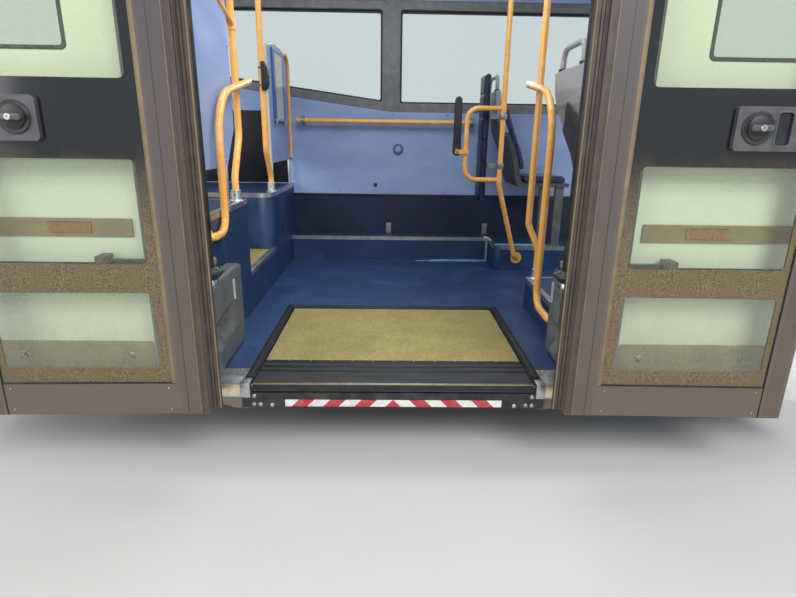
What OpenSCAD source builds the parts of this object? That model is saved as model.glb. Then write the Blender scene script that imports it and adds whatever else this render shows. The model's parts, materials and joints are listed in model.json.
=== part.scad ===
// Middle doorway bay of a low-entry passenger bus: a full-width section of the body with
// two outward-swinging door leaves, shown open, and a folding wheelchair ramp in the floor.
// X points to the front of the bus, Y to the side away from the doorway, Z up.
// Z = 0 is the lower face of the underframe, and X = 0 is the middle of the ramp.

/* [Body] */
// Length of the bay
bay_l = 3600; // [3500:50:4200]
// Width over the side panels
body_w = 2550; // [2500:10:2600]
// Thickness of an outer side panel
panel_t = 38; // [30:1:42]
// Thickness of an inner lining
lining_t = 40; // [34:1:46]
// Top of the low floor
floor_z = 200; // [190:1:215]
// Thickness of the floor board
floor_t = 30; // [20:1:32]
// Height of the side walls, where the roof starts
wall_top = 2440; // [2400:10:2560]
// Thickness of the roof shell
roof_t = 35; // [25:1:50]
// Rise of the roof above the side walls
roof_rise = 200; // [190:5:260]
// Radius of the roof's rounded edges
roof_r = 180; // [120:5:185]

/* [Windows] */
// Lower edge of the window frames on the inside
waist_z = 1345; // [1300:5:1400]
// Upper edge of the windows
window_top = 2120; // [2000:10:2150]
// Rise of the waist line towards the rear end of the rear far window
waist_rise = 220; // [180:5:260]
// Width of the inner window frame
frame_w = 62; // [40:1:75]
// Corner radius of the windows
window_r = 50; // [50:5:110]
// Width of the rubber seal around the glass
seal_w = 14; // [10:1:18]
// Thickness of the window glass
pane_t = 6; // [4:1:8]
// Left edge of the pillar between the far windows
pillar_l = -22; // [-80:1:-20]
// Right edge of the pillar between the far windows
pillar_r = -10; // [-12:1:40]

/* [Doorway] */
// Middle of the doorway along the bus, from the middle of the ramp
door_x = -23; // [-30:1:0]
// Width of one leaf's rigid frame
leaf_w = 820; // [780:5:830]
// Thickness of a leaf
leaf_t = 40; // [34:1:42]
// Lower edge of the leaves
leaf_low = 145; // [130:1:160]
// Upper edge of the leaves
leaf_top = 2150; // [2140:5:2180]
// Width of the rubber lip on a leaf's meeting edge
lip_w = 42; // [30:1:46]
// Gap between the two lips when the leaves are shut
lip_gap = 6; // [5:1:10]
// Distance from the doorway's middle to an open leaf's rigid edge
open_edge = 674; // [666:1:684]
// Distance that an open leaf stands out from the side panel
open_out = 90; // [86:1:96]
// Angle by which an open leaf's outer edge stands further out
toe = 1.3; // [0.8:0.1:1.4]
// Width of the fluted stile at the meeting edge
stile_w = 112; // [100:1:120]
// Width of the narrow stile at the outer edge
outer_stile_w = 80; // [60:1:90]
// Height of the leaf's bottom rail
rail_h = 125; // [100:5:150]
// Width of the door posts
post_w = 113; // [100:1:118]
// Clearance between a shut leaf and the side panel
leaf_gap = 18; // [16:1:22]

/* [Door drive] */
// Distance from the doorway's middle to a turning column
column_out = 705; // [700:1:712]
// Depth of a column behind the outer side panel
column_in = 140; // [138:1:150]
// Radius of a column
column_r = 22; // [18:1:24]
// Reach of an arm out of the body before it turns along the leaf
arm_out = 165; // [164:0.5:166]
// Width of an arm
arm_w = 24; // [20:1:24]
// Height of an arm
arm_h = 30; // [24:1:32]
// Lower face of the lower arm
low_arm_z = 695; // [694:1:700]
// Lower face of the upper arm
top_arm_z = 2080; // [2070:1:2090]
// Radius of the pivot pins in the leaves
pivot_r = 8; // [6:0.5:9]

/* [Ramp] */
// Width of the folding ramp
ramp_w = 1132; // [1080:4:1140]
// Inner end of the folding ramp, measured from the outer sill edge
ramp_l = 982; // [900:5:1000]
// Thickness of the ramp plate
ramp_t = 27; // [22:1:29]
// Thickness of the surface on the ramp
tread_t = 4; // [3:0.5:5]
// Width of the black strip next to the ramp's hinge
strip_l = 237; // [200:1:260]
// Width of the bars beside the ramp
bar_w = 39; // [30:1:45]
// Distance from the outer side panel to the sill's front face
sill_in = 50; // [48:1:55]
// Radius of the ramp's hinge pins
ramp_pin_r = 6; // [5:0.5:7]

/* [Platforms] */
// Riser between the low floor and the raised rear
riser_x = -790; // [-820:5:-780]
// Top of the rear platform at the doorway side
near_platform_z = 826; // [780:2:850]
// Top of the rear platform at the far side
far_platform_z = 795; // [760:5:820]
// Aisle side of the rear platform at the doorway side
aisle_near = -270; // [-300:5:-260]
// Aisle side of the rear platform at the far side
aisle_far = 335; // [325:5:380]
// Thickness of the platform panels
board_t = 25; // [18:1:30]
// Corner radius of the rear far platform
corner_r = 90; // [60:5:120]
// Top of the front podiums
podium_z = 385; // [370:1:400]
// Left end of the front podiums
podium_x = 775; // [772:1:790]
// Front face of the far podium
podium_far_y = 751; // [745:1:765]
// Aisle side of the near podium
podium_near_y = -174; // [-200:2:-170]
// Depth of the wall duct's face in front of the far lining
duct_d = 162; // [140:1:170]
// Top of the wall duct
duct_z = 398; // [390:1:420]

/* [Rails] */
// Diameter of stanchions and rails
tube_d = 35; // [30:1:36]
// Radius of the bends in stanchions and rails
bend_r = 90; // [70:5:110]
// Underside of the ceiling
ceiling_z = 2420; // [2380:5:2425]

/* [Seats] */
// Width of a seat
seat_w = 420; // [400:5:430]
// Height of a seat's pan above the podium
pan_z = 440; // [420:5:460]
// Thickness of a seat cushion
cushion_t = 46; // [35:1:60]

/* [Hidden] */
$fn = 48;

function unit(v) = v / norm(v);
function corner_half(pts, i) = let (n = len(pts), p = pts[i],
    a = unit(pts[(i + n - 1) % n] - p), b = unit(pts[(i + 1) % n] - p)) [a, b, acos(a * b) / 2];
// A convex outline, counter-clockwise, moved inwards by d
function inset(pts, d) = [for (i = [0 : len(pts) - 1]) let (c = corner_half(pts, i))
    pts[i] + unit(c[0] + c[1]) * d / sin(c[2])];
// A convex outline, counter-clockwise, with each corner rounded to the radius r
function rounded(pts, r, steps = 6) = [for (i = [0 : len(pts) - 1])
    let (c = corner_half(pts, i), mid = pts[i] + unit(c[0] + c[1]) * r / sin(c[2]),
         first = pts[i] + c[0] * r / tan(c[2]) - mid, start = atan2(first.y, first.x))
    for (k = [0 : steps]) let (t = start + (180 - 2 * c[2]) * k / steps) mid + r * [cos(t), sin(t)]];
function box_outline(x0, z0, x1, z1) = [[x0, z0], [x1, z0], [x1, z1], [x0, z1]];

half_l = bay_l / 2;
skin_y = body_w / 2;
seat_y = skin_y - panel_t;            // between the outer panel and the lining
wall_y = seat_y - lining_t;           // inner face of the linings
wall_low = floor_z - floor_t;         // lower edge of the side walls
beam_h = 96;
beam_w = 80;
end_x = half_l - beam_w / 2;
mount_r = 9;
cassette_z = 100;

// Doorway and leaves, measured from the doorway's middle
shut_edge = lip_w + lip_gap / 2;
shut_far = shut_edge + leaf_w;
panel_edge = shut_far + leaf_gap;
post_in = panel_edge - post_w;
leaf_face = skin_y + open_out;        // outer face of an open leaf
travel = open_edge - shut_edge;
arm_reach = (travel * travel + open_out * open_out - 2 * open_out * arm_out) / (2 * travel);
open_angle = atan2(-arm_out, arm_reach);
shut_angle = atan2(open_out - arm_out, arm_reach - travel);
column_y = -skin_y + column_in;
pivot_u = column_out + arm_reach - open_edge;
sill_y = -skin_y + sill_in;
header_z = leaf_top + 10;

// Ramp
side_gap = 5;
pit_w = ramp_w + 2 * side_gap;
frame_out = pit_w / 2 + bar_w;
ramp_face = sill_y + 3;
ramp_top = floor_z + 3;
ramp_end = ramp_face + ramp_l;
ramp_base = ramp_top - tread_t - ramp_t;
cross_x = frame_out + 50;             // the two cross beams beside the ramp
hinge_y = sill_y + 12;
hinge_z = floor_z - 8;
pit_z = ramp_base - 7;
pit_end = ramp_end + side_gap;
back_bar = 55;
sill_d = 150;                         // depth of the sill beside the ramp
sill_up = 4;                          // rise of the sill above the floor
fit = 0.3;

tube_r = tube_d / 2;
cover_t = 12;
drive_z = 2200;
drive_in = 200;                       // depth of the drive's box inside the lining

module leaf_side(side) {
    translate([door_x, 0, 0]) if (side > 0) children(); else mirror([1, 0, 0]) children();
}

module block(x0, y0, z0, x1, y1, z1) {
    translate([x0, y0, z0]) cube([x1 - x0, y1 - y0, z1 - z0]);
}

// An outline in X and Z, drawn from y0 to y1
module upright(y0, y1) {
    translate([0, y1, 0]) rotate([90, 0, 0]) linear_extrude(y1 - y0) children();
}

// An outline in Y and Z, drawn from x0 to x1
module crosswise(x0, x1) {
    translate([x0, 0, 0]) rotate([90, 0, 90]) linear_extrude(x1 - x0) children();
}

module rod(a, b, r) {
    v = b - a;
    translate(a) rotate([0, acos(v.z / norm(v)), atan2(v.y, v.x)]) cylinder(r = r, h = norm(v));
}

// The middle line of a bent tube: a list of points, and the radius of each corner between its ends
function bent_line(pts, bends, steps = 5) = let (last = len(pts) - 1) [pts[0],
    for (i = [1 : last - 1]) let (a = unit(pts[i] - pts[i - 1]), b = unit(pts[i + 1] - pts[i]),
        r = bends[i - 1], t = acos(a * b), start = pts[i] - a * r * tan(t / 2), side = unit(b - a * (a * b)))
        for (k = [0 : steps]) start + r * (a * sin(t * k / steps) + side * (1 - cos(t * k / steps))),
    pts[last]];
function headings(line) = let (n = len(line) - 1) [for (i = [0 : n])
    unit(line[min(i + 1, n)] - line[max(i - 1, 0)])];
// A direction square to each heading, carried along the line without a twist
function carried(heads, side, i = 0) = i == len(heads) ? [] :
    let (s = unit(side - heads[i] * (side * heads[i]))) concat([s], carried(heads, s, i + 1));

// A bent tube through a list of points, with a list of bend radii or one radius for all
module pipe(pts, r, bend, sides = 20) {
    line = bent_line(pts, is_list(bend) ? bend : [for (i = [2 : len(pts) - 1]) bend]);
    heads = headings(line);
    start = abs(heads[0].x) < 0.9 ? [1, 0, 0] : [0, 1, 0];
    across = carried(heads, start);
    n = len(line);
    points = [for (i = [0 : n - 1]) for (k = [0 : sides - 1]) let (t = 360 * k / sides)
        line[i] + r * (cos(t) * across[i] + sin(t) * cross(heads[i], across[i]))];
    skin = [for (i = [0 : n - 2]) for (k = [0 : sides - 1])
        let (a = i * sides + k, b = i * sides + (k + 1) % sides) [a, a + sides, b + sides, b]];
    polyhedron(points, concat([[for (k = [0 : sides - 1]) k]], skin,
                              [[for (k = [sides - 1 : -1 : 0]) (n - 1) * sides + k]]));
}

// Underframe: two long beams and four cross beams, with four bolt holes at the ends

cross_end = 940;                      // where a cross beam ends and its shallow outriggers start
outrigger_h = 25;
module cross_beam(x, w, y0) {
    block(x - w / 2, -cross_end, 0, x + w / 2, cross_end, wall_low);
    block(x - w / 2, y0, wall_low - outrigger_h, x + w / 2, skin_y - 5, wall_low);
}

module underframe() color("#3a3d40") difference() {
    union() {
        for (y = [-560, 560]) block(-half_l, y - beam_w / 2, 0, half_l, y + beam_w / 2, beam_h);
        for (x = [-end_x, end_x]) cross_beam(x, beam_w, -skin_y + 5);
        for (x = [-cross_x, cross_x]) cross_beam(x, 60, sill_y + 20);
    }
    for (x = [-end_x, end_x], y = [-560, 560]) translate([x, y, -1]) cylinder(r = mount_r, h = wall_low + 2);
}

module floor() color("#24405f") difference() {
    block(riser_x, -wall_y, wall_low, half_l, wall_y, floor_z);
    block(-frame_out, -skin_y, 0, frame_out, pit_end + back_bar, floor_z + 1);
    block(door_x - post_in, -skin_y, 0, door_x + post_in, sill_y + sill_d, floor_z + 1);
}

module ramp_frame() color("#26272a") difference() {
    union() {
        difference() {
            block(-frame_out, sill_y, cassette_z, frame_out, pit_end + back_bar, floor_z + sill_up);
            block(-pit_w / 2, sill_y - 1, pit_z, pit_w / 2, pit_end, floor_z + 5);
        }
        for (x = [-520, 480]) block(x, ramp_face + 300, pit_z, x + 40, ramp_end - 60, ramp_base - fit);
    }
    rod([-frame_out - 1, hinge_y, hinge_z], [frame_out + 1, hinge_y, hinge_z], ramp_pin_r + 0.05);
}

module sill_ends() color("#b8bcc0") for (side = [-1, 1]) {
    end = side > 0 ? door_x + post_in : riser_x;
    a = min(end, side * frame_out);
    b = max(end, side * frame_out);
    block(a, sill_y, wall_low, b, sill_y + sill_d, floor_z + sill_up);
    block(a, sill_y, wall_low - 25, b, sill_y + 12, wall_low);
}

module door_posts() color("#2b2c2e") for (side = [-1, 1]) leaf_side(side)
    block(post_in, sill_y, cassette_z, panel_edge, -wall_y, header_z);

// Side walls, each an outer panel and a lining, with the windows cut through both

window_end = half_l - 100;
near_windows = [box_outline(-window_end, waist_z, door_x - panel_edge - 100, window_top),
                box_outline(door_x + panel_edge + 100, waist_z, window_end, window_top)];
far_windows = [[[-window_end, waist_z + waist_rise], [pillar_l, waist_z], [pillar_l, window_top],
                [-window_end, window_top]],
               box_outline(pillar_r, waist_z, window_end, window_top)];

module openings(windows, d) for (w = windows) polygon(rounded(inset(w, d), window_r - d / 2));

module near_panel(d) difference() {
    translate([-half_l, wall_low]) square([bay_l, wall_top - wall_low]);
    translate([door_x - panel_edge, 0]) square([2 * panel_edge, header_z]);
    openings(near_windows, d);
}

module wall_near() color("#e4e6e6") upright(-skin_y, -seat_y) near_panel(frame_w);
module lining_near() color("#8fa3cf") upright(-seat_y, -wall_y) near_panel(0);

module wall_far() color("#e4e6e6") upright(seat_y, skin_y) difference() {
    translate([-half_l, wall_low]) square([bay_l, wall_top - wall_low]);
    openings(far_windows, frame_w);
}

lining_split = 715;
module lining_far() color("#8fa3cf") upright(wall_y, seat_y) difference() {
    translate([-half_l, lining_split]) square([bay_l, wall_top - lining_split]);
    openings(far_windows, 0);
}

module lining_low() color("#1d3355") upright(wall_y, seat_y)
    translate([-half_l, wall_low]) square([bay_l, lining_split - wall_low]);

module rings(windows, d0, d1) difference() {
    openings(windows, d0);
    openings(windows, d1);
}

module window_frames() color("#606468") {
    upright(wall_y, seat_y) rings(far_windows, 0, frame_w);
    upright(-seat_y, -wall_y) rings(near_windows, 0, frame_w);
}

module window_seals() color("#17181a") {
    upright(seat_y, skin_y) rings(far_windows, frame_w, frame_w + seal_w);
    upright(-skin_y, -seat_y) rings(near_windows, frame_w, frame_w + seal_w);
}

pane_in = 16;
module window_glass() color("#7f9a96") {
    upright(skin_y - pane_in - pane_t, skin_y - pane_in) openings(far_windows, frame_w + seal_w);
    upright(-skin_y + pane_in, -skin_y + pane_in + pane_t) openings(near_windows, frame_w + seal_w);
}

// Rubber rub rails on the outer panels, with side marker lamps

rub_z = 801;
rub_h = 65;
rub_t = 8;
rub_end = panel_edge + 25;            // from the doorway's middle to a near rail's end, clear of a shut leaf
lamp_l = 150;
lamp_x = 1118;
module rub_rails() color("#3c3d40") difference() {
    for (y = [-skin_y - rub_t, skin_y]) block(-half_l, y, rub_z, half_l, y + rub_t, rub_z + rub_h);
    block(door_x - rub_end, -skin_y - rub_t - 1, rub_z - 1, door_x + rub_end, -seat_y, rub_z + rub_h + 1);
    lamp_seats(0);
}

module lamp_seats(d) for (x = [-lamp_x - 30, lamp_x], y = [-skin_y - rub_t - d, skin_y])
    block(x - lamp_l / 2, y, rub_z + 14, x + lamp_l / 2, y + rub_t + d, rub_z + rub_h - 14);

module marker_lamps() color("#d8622a") for (x = [-lamp_x - 30, lamp_x], side = [-1, 1])
    block(x - lamp_l / 2, side > 0 ? skin_y : -skin_y - rub_t - 3, rub_z + 14,
          x + lamp_l / 2, side > 0 ? skin_y + rub_t + 3 : -skin_y, rub_z + rub_h - 14);

// Roof: a cambered shell with rounded edges and a raised rim for the hatch

hatch_x = half_l - 550;
hatch_l = 760;
hatch_w = 560;
rim = 30;
rim_z = wall_top + roof_rise + 30;
camber_r = 9000;

module roof_outline(t) intersection() {
    union() {
        translate([-skin_y + t, wall_top]) square([2 * (skin_y - t), roof_rise - roof_r]);
        translate([-skin_y + roof_r, wall_top]) square([2 * (skin_y - roof_r), roof_rise - t]);
        intersection() {
            for (y = [-1, 1]) translate([y * (skin_y - roof_r), wall_top + roof_rise - roof_r])
                circle(r = roof_r - t, $fn = 96);
            translate([-skin_y, wall_top]) square([body_w, roof_rise]);
        }
    }
    translate([0, wall_top + roof_rise - camber_r]) circle(r = camber_r - t, $fn = 200);
}

module roof() color("#e4e6e6") difference() {
    union() {
        crosswise(-half_l, half_l) difference() {
            roof_outline(0);
            roof_outline(roof_t);
        }
        block(hatch_x - hatch_l / 2 - rim, -hatch_w / 2 - rim, wall_top + roof_rise - roof_t - 10,
              hatch_x + hatch_l / 2 + rim, hatch_w / 2 + rim, rim_z);
        knuckles();
    }
    block(hatch_x - hatch_l / 2, -hatch_w / 2, wall_top, hatch_x + hatch_l / 2, hatch_w / 2, rim_z + 1);
    lid_pin(lid_pin_r + 0.05, 1);
}

// Lid of the hatch, on a pin through two knuckles on the front of the rim
lid_gap = 0.3;
lid_t = 28;
lid_x = hatch_x + hatch_l / 2 + rim;
lid_axis_x = lid_x + 16;
lid_pin_r = 6;
knuckle_r = 12;
knuckle_y = 140;
knuckle_l = 40;
module lid_pin(r, extra) rod([lid_axis_x, -knuckle_y - knuckle_l - extra, rim_z],
                             [lid_axis_x, knuckle_y + knuckle_l + extra, rim_z], r);

module knuckles() for (y = [-knuckle_y - knuckle_l, knuckle_y]) {
    block(lid_x - 1, y, rim_z - knuckle_r, lid_axis_x, y + knuckle_l, rim_z);
    rod([lid_axis_x, y, rim_z], [lid_axis_x, y + knuckle_l, rim_z], knuckle_r);
}

module roof_hatch() color("#d4d6d6") {
    block(hatch_x - hatch_l / 2 - rim - 15, -hatch_w / 2 - rim - 15, rim_z + lid_gap,
          lid_x, hatch_w / 2 + rim + 15, rim_z + lid_gap + lid_t);
    block(lid_x - 1, -knuckle_y + 5, rim_z + lid_gap, lid_axis_x, knuckle_y - 5, rim_z + knuckle_r);
    rod([lid_axis_x, -knuckle_y + 5, rim_z], [lid_axis_x, knuckle_y - 5, rim_z], knuckle_r);
    lid_pin(lid_pin_r, 0);
}

module ceiling() color("#d9dad6") difference() {
    block(-half_l, -wall_y + drive_in, ceiling_z, half_l, wall_y, wall_top);
    block(hatch_x - hatch_l / 2, -hatch_w / 2, 0, hatch_x + hatch_l / 2, hatch_w / 2, wall_top + 1);
}

// Box of the door drive above the doorway, with a flap that lifts for service

flap_l = 1660;
drive_y = -wall_y + drive_in;
module drive_cover() color("#c9cbc8") difference() {
    union() {
        block(-half_l, -wall_y, drive_z - cover_t, half_l, drive_y, drive_z);
        for (side = [-1, 1]) block(side > 0 ? door_x + flap_l / 2 : -half_l, drive_y - cover_t, drive_z,
                                   side > 0 ? half_l : door_x - flap_l / 2, drive_y, wall_top);
        block(-half_l, -wall_y, wall_top - cover_t, half_l, drive_y, wall_top);
    }
    for (side = [-1, 1]) translate([door_x + side * column_out, column_y, drive_z - cover_t - 1])
        cylinder(r = column_r + 0.05, h = cover_t + 2);
    flap_pin(flap_pin_r + 0.05, 20);
}

flap_gap = 6;
flap_z = wall_top - cover_t - flap_gap;
flap_pin_r = 4;
flap_axis_z = flap_z - 20;
module flap_pin(r, extra) rod([door_x - flap_l / 2 - extra, drive_y - cover_t / 2, flap_axis_z],
                              [door_x + flap_l / 2 + extra, drive_y - cover_t / 2, flap_axis_z], r);

module drive_flap() color("#c2c4c1") {
    block(door_x - flap_l / 2 + flap_gap, drive_y - cover_t, drive_z + flap_gap,
          door_x + flap_l / 2 - flap_gap, drive_y, flap_z);
    flap_pin(flap_pin_r, 18);
}

gear_l = 130;
gear_w = 100;
gear_h = 90;
module door_drive() color("#55585c") difference() {
    union() {
        for (side = [-1, 1])
            translate([door_x + side * column_out - gear_l / 2, column_y - gear_w / 2, drive_z])
                cube([gear_l, gear_w, gear_h]);
        rod([door_x - column_out, column_y, drive_z + gear_h / 2],
            [door_x + column_out, column_y, drive_z + gear_h / 2], 16);
        translate([door_x - 190, column_y - 40, drive_z]) cube([380, 80, gear_h]);
    }
    for (side = [-1, 1]) translate([door_x + side * column_out, column_y, drive_z - 1])
        cylinder(r = column_r + 0.05, h = 21);
}

// Wall duct, rear platforms, steps and podiums

module wall_duct() color("#1d3355") difference() {
    block(riser_x, wall_y - duct_d, floor_z, podium_x, wall_y, duct_z - 3);
    block(riser_x - 1, wall_y - duct_d + 12, floor_z - 1, podium_x + 1, wall_y - 12, duct_z - 15);
}

module far_outline(t) difference() {
    translate([-half_l, aisle_far + t]) square([half_l + riser_x - t, wall_y - aisle_far - t]);
    translate([riser_x - corner_r, aisle_far + corner_r]) rotate(-90) quarter_cut(corner_r, t);
}

// What a rounded corner takes away from a square one, with the corner moved in by t
module quarter_cut(r, t) difference() {
    square(r);
    circle(r = r - t, $fn = 96);
}

module rear_platforms() color("#1d3355") {
    difference() {
        block(-half_l, -wall_y, wall_low, riser_x, aisle_near, near_platform_z - 3);
        block(-half_l - 1, -wall_y + board_t, wall_low - 1, riser_x - board_t, aisle_near - board_t,
              near_platform_z - 3 - board_t);
    }
    difference() {
        translate([0, 0, wall_low]) linear_extrude(far_platform_z - 3 - wall_low) far_outline(0);
        translate([-1, 0, wall_low - 1]) linear_extrude(far_platform_z - 2 - wall_low - board_t)
            far_outline(board_t);
    }
}

// Steps up to the rear aisle: left end, top
step_rows = [[riser_x - 260, 430], [riser_x - 520, 615], [-half_l, 800]];
nose_end = aisle_far + 0.8 * corner_r; // the first step's nosing runs on round the platform's corner
module rear_steps() color("#1d3355") for (i = [0 : 2]) {
    x1 = i == 0 ? riser_x : step_rows[i - 1][0];
    low = i == 0 ? wall_low : step_rows[i - 1][1] - 3 - board_t;
    top = step_rows[i][1] - 3;
    difference() {
        union() {
            block(x1 - board_t, aisle_near, low, x1, i == 0 ? nose_end : aisle_far, top);
            block(step_rows[i][0], aisle_near, top - board_t, x1, aisle_far, top);
            if (i == 0) block(riser_x - corner_r, aisle_far, top - board_t, riser_x, nose_end, top);
        }
        if (i == 0) translate([0, 0, wall_low - 1]) linear_extrude(top) far_outline(0);
    }
}

far_podium_r = 40;
module podiums() color("#1d3355") difference() {
    union() {
        difference() {
            block(podium_x, podium_far_y, floor_z, half_l, wall_y, podium_z - 3);
            translate([podium_x + far_podium_r, podium_far_y + far_podium_r, floor_z - 1]) rotate(180)
                linear_extrude(podium_z) quarter_cut(far_podium_r, 0);
        }
        block(podium_x, -wall_y, floor_z, half_l, podium_near_y, podium_z - 3);
    }
    block(podium_x + board_t, podium_far_y + board_t, floor_z - 1, half_l + 1, wall_y - board_t,
          podium_z - 3 - board_t);
    block(podium_x + board_t, -wall_y + board_t, floor_z - 1, half_l + 1, podium_near_y - board_t,
          podium_z - 3 - board_t);
}

// Aluminium edges: a lip on top and one down the face
trim_w = 26;
trim_h = 28;
trim_t = 3;
module trim_x(x0, x1, y, z, out) {
    block(x0, min(y, y - out * trim_w), z - trim_t, x1, max(y, y - out * trim_w), z);
    block(x0, min(y, y + out * trim_t), z - trim_h, x1, max(y, y + out * trim_t), z);
}
module trim_y(y0, y1, x, z, out) {
    block(min(x, x - out * trim_w), y0, z - trim_t, max(x, x - out * trim_w), y1, z);
    block(min(x, x + out * trim_t), y0, z - trim_h, max(x, x + out * trim_t), y1, z);
}

module edge_trims() color("#b8bcc0") {
    trim_y(-wall_y, aisle_near, riser_x, near_platform_z, 1);
    trim_x(-half_l, riser_x + trim_t, aisle_near, near_platform_z, 1);
    trim_y(aisle_far + corner_r, wall_y, riser_x, far_platform_z, 1);
    trim_x(step_rows[1][0], riser_x - corner_r, aisle_far, far_platform_z, -1);
    trim_x(riser_x, podium_x, wall_y - duct_d, duct_z, -1);
    trim_x(podium_x + far_podium_r, half_l, podium_far_y, podium_z, -1);
    trim_y(podium_far_y + far_podium_r, wall_y - duct_d - trim_t, podium_x, podium_z, -1);
    trim_x(podium_x - trim_t, half_l, podium_near_y, podium_z, 1);
    trim_y(-wall_y, podium_near_y, podium_x, podium_z, -1);
    for (row = [[step_rows[0][0], 1], [step_rows[1][0], 2]])
        trim_y(aisle_near + 5, aisle_far - 5, row[0], step_rows[row[1]][1], 1);
    difference() {
        trim_y(aisle_near + 5, nose_end, riser_x, step_rows[0][1], 1);
        linear_extrude(step_rows[0][1] + 1) far_outline(0);
    }
    translate([riser_x - corner_r, aisle_far + corner_r, far_platform_z]) rotate(-90)
        rotate_extrude(angle = 90, $fn = 96) {
            translate([corner_r - trim_w, -trim_t]) square([trim_w, trim_t]);
            translate([corner_r, -trim_h]) square([trim_t, trim_h]);
        }
}

module step_tread() color("#b0a768") for (row = [[0, riser_x], [1, step_rows[0][0]]])
    block(step_rows[row[0]][0] + 6, aisle_near + 6, step_rows[row[0]][1] - 3, row[1] - trim_w - 4,
          aisle_far - 6, step_rows[row[0]][1]);

// Screens beside the rear platforms

screen_t = 14;
screen_low = 978;
far_screen_y = 488;                   // edge of the far screen next to the aisle
near_screen_low = 1007;
near_screen_top = 2050;
screen_gap = 110;                     // between the near screen's edge and the middle of its stanchion
far_screen_r = 1400;
far_screen_top = 1740;
a_y = -252;                           // stanchion at the near platform
a_foot = -383;
b_y = 364;                            // stanchion at the far platform
b_foot = 467;
post_x = riser_x - 22;

module far_screen_outline() intersection() {
    translate([far_screen_y, screen_low]) square([wall_y - far_screen_y, far_screen_top - screen_low]);
    translate([(far_screen_y + wall_y) / 2, far_screen_top - far_screen_r]) circle(r = far_screen_r, $fn = 180);
}

module screens() color("#8fa3cf") {
    crosswise(post_x - screen_t / 2, post_x + screen_t / 2) difference() {
        translate([-wall_y, near_screen_low])
            square([wall_y + a_y - screen_gap, near_screen_top - near_screen_low]);
        translate([a_y - screen_gap, near_screen_low]) mirror([1, 0]) polygon([[0, 0], [150, 0], [0, 180]]);
        polygon([[a_y, branch_z - branch_cut], [a_y, branch_z + branch_cut],
                 [branch_y, branch_top + branch_cut], [branch_y, branch_top - branch_cut]]);
        translate([-wall_y - 1, branch_top - flange_r - fit])
            square([1 + flange_t + fit, 2 * (flange_r + fit)]);
    }
    crosswise(post_x - screen_t / 2, post_x + screen_t / 2) far_screen_outline();
}

edge_rail_r = 7;
edge_rail_low = screen_low + 22;
edge_rail_top = 1640;
module screen_rail() color("#a06a3c")
    translate([post_x + screen_t / 2 + edge_rail_r, wall_y - edge_rail_r - 3, edge_rail_low])
        cylinder(r = edge_rail_r, h = edge_rail_top - edge_rail_low);

poster = [619, 1236, 987, 1708];
module poster_frame() color("#2f5aa0") crosswise(post_x + screen_t / 2, post_x + screen_t / 2 + 9)
    translate([poster[0], poster[1]]) square([poster[2] - poster[0], poster[3] - poster[1]]);

// Stanchions and rails

socket_r = 24;
socket_h = 56;
branch_z = 1675;
branch_rise = 290;
branch_top = branch_z + branch_rise;
flange_r = 32;
flange_t = 8;
branch_y = -wall_y + flange_t - 2;    // the branch ends inside its wall flange
branch_cut = (tube_r + fit) * norm([branch_rise, a_y - branch_y]) / (a_y - branch_y);
b_bend_z = 1060;
module rear_stanchions() color("#f0a850") {
    pipe([[post_x, a_y, ceiling_z], [post_x, a_y, 1150], [post_x, a_foot, 950],
          [post_x, a_foot, near_platform_z + socket_h]], tube_r, bend_r);
    pipe([[post_x, a_y, branch_z], [post_x, branch_y, branch_top]], tube_r, bend_r);
    translate([post_x, -wall_y + flange_t, branch_top]) rotate([90, 0, 0])
        cylinder(r = flange_r, h = flange_t);
    pipe([[post_x, b_y, ceiling_z], [post_x, b_y, b_bend_z], [post_x, b_foot, b_bend_z - 165],
          [post_x, b_foot, far_platform_z + socket_h]], tube_r, bend_r);
}

c_x = 739;                            // stanchion with the loop
c_y = 600;
loop_l = 243;
loop_top = 1350;
loop_low = 881;
d_x = 767;                            // stanchion at the near podium
d_y = -170;
d_foot = 822;
module front_stanchions() color("#f0a850") {
    pipe([[c_x, c_y, ceiling_z], [c_x, c_y, 850], [c_x + 165, podium_far_y - 60, 330],
          [c_x + 197, podium_far_y - 13, 299]], tube_r, bend_r / 2);
    pipe([[c_x, c_y, loop_top], [c_x - loop_l, c_y, loop_top], [c_x - loop_l, c_y, loop_low],
          [c_x, c_y, loop_low]], tube_r - 1, bend_r - 10);
    translate([c_x + 197, podium_far_y - 8, 299]) rotate([-90, 0, 0]) cylinder(r = 42, h = 8);
    pipe([[d_x, d_y, ceiling_z], [d_x, d_y, 690], [d_foot, d_y - 40, 560],
          [d_foot, d_y - 40, podium_z + socket_h]], tube_r, bend_r);
}

rail_r_x = riser_x + trim_t + tube_r + fit;
rail_f_x = d_x - tube_d - fit;
// Paths of the two grab rails in Y and Z, from the foot up to the free end
rail_r_path = [[-900, 733], [-735, 733], [-733, 1313], [-150, 1423]];
rail_f_path = [[-815, 338], [-568, 345], [-578, 1358], [-60, 1440]];
module grab_rail(foot_x, x, path, bends) {
    pipe(concat([[foot_x, path[0].x, path[0].y]], [for (p = path) [x, p.x, p.y]]), tube_r, bends);
}

module grab_rails() color("#f0a850") {
    grab_rail(riser_x, rail_r_x, rail_r_path, [20, 80, 235]);
    grab_rail(podium_x, rail_f_x, rail_f_path, [28, 85, 240]);
}

wall_rail_z = 1270;
wall_rail_y = wall_y - 70;
wall_rail_x0 = riser_x + 55;
wall_rail_x1 = 610;
module wall_rail() color("#f0a850") {
    rod([wall_rail_x0, wall_rail_y, wall_rail_z], [wall_rail_x1, wall_rail_y, wall_rail_z], tube_r);
}

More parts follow.
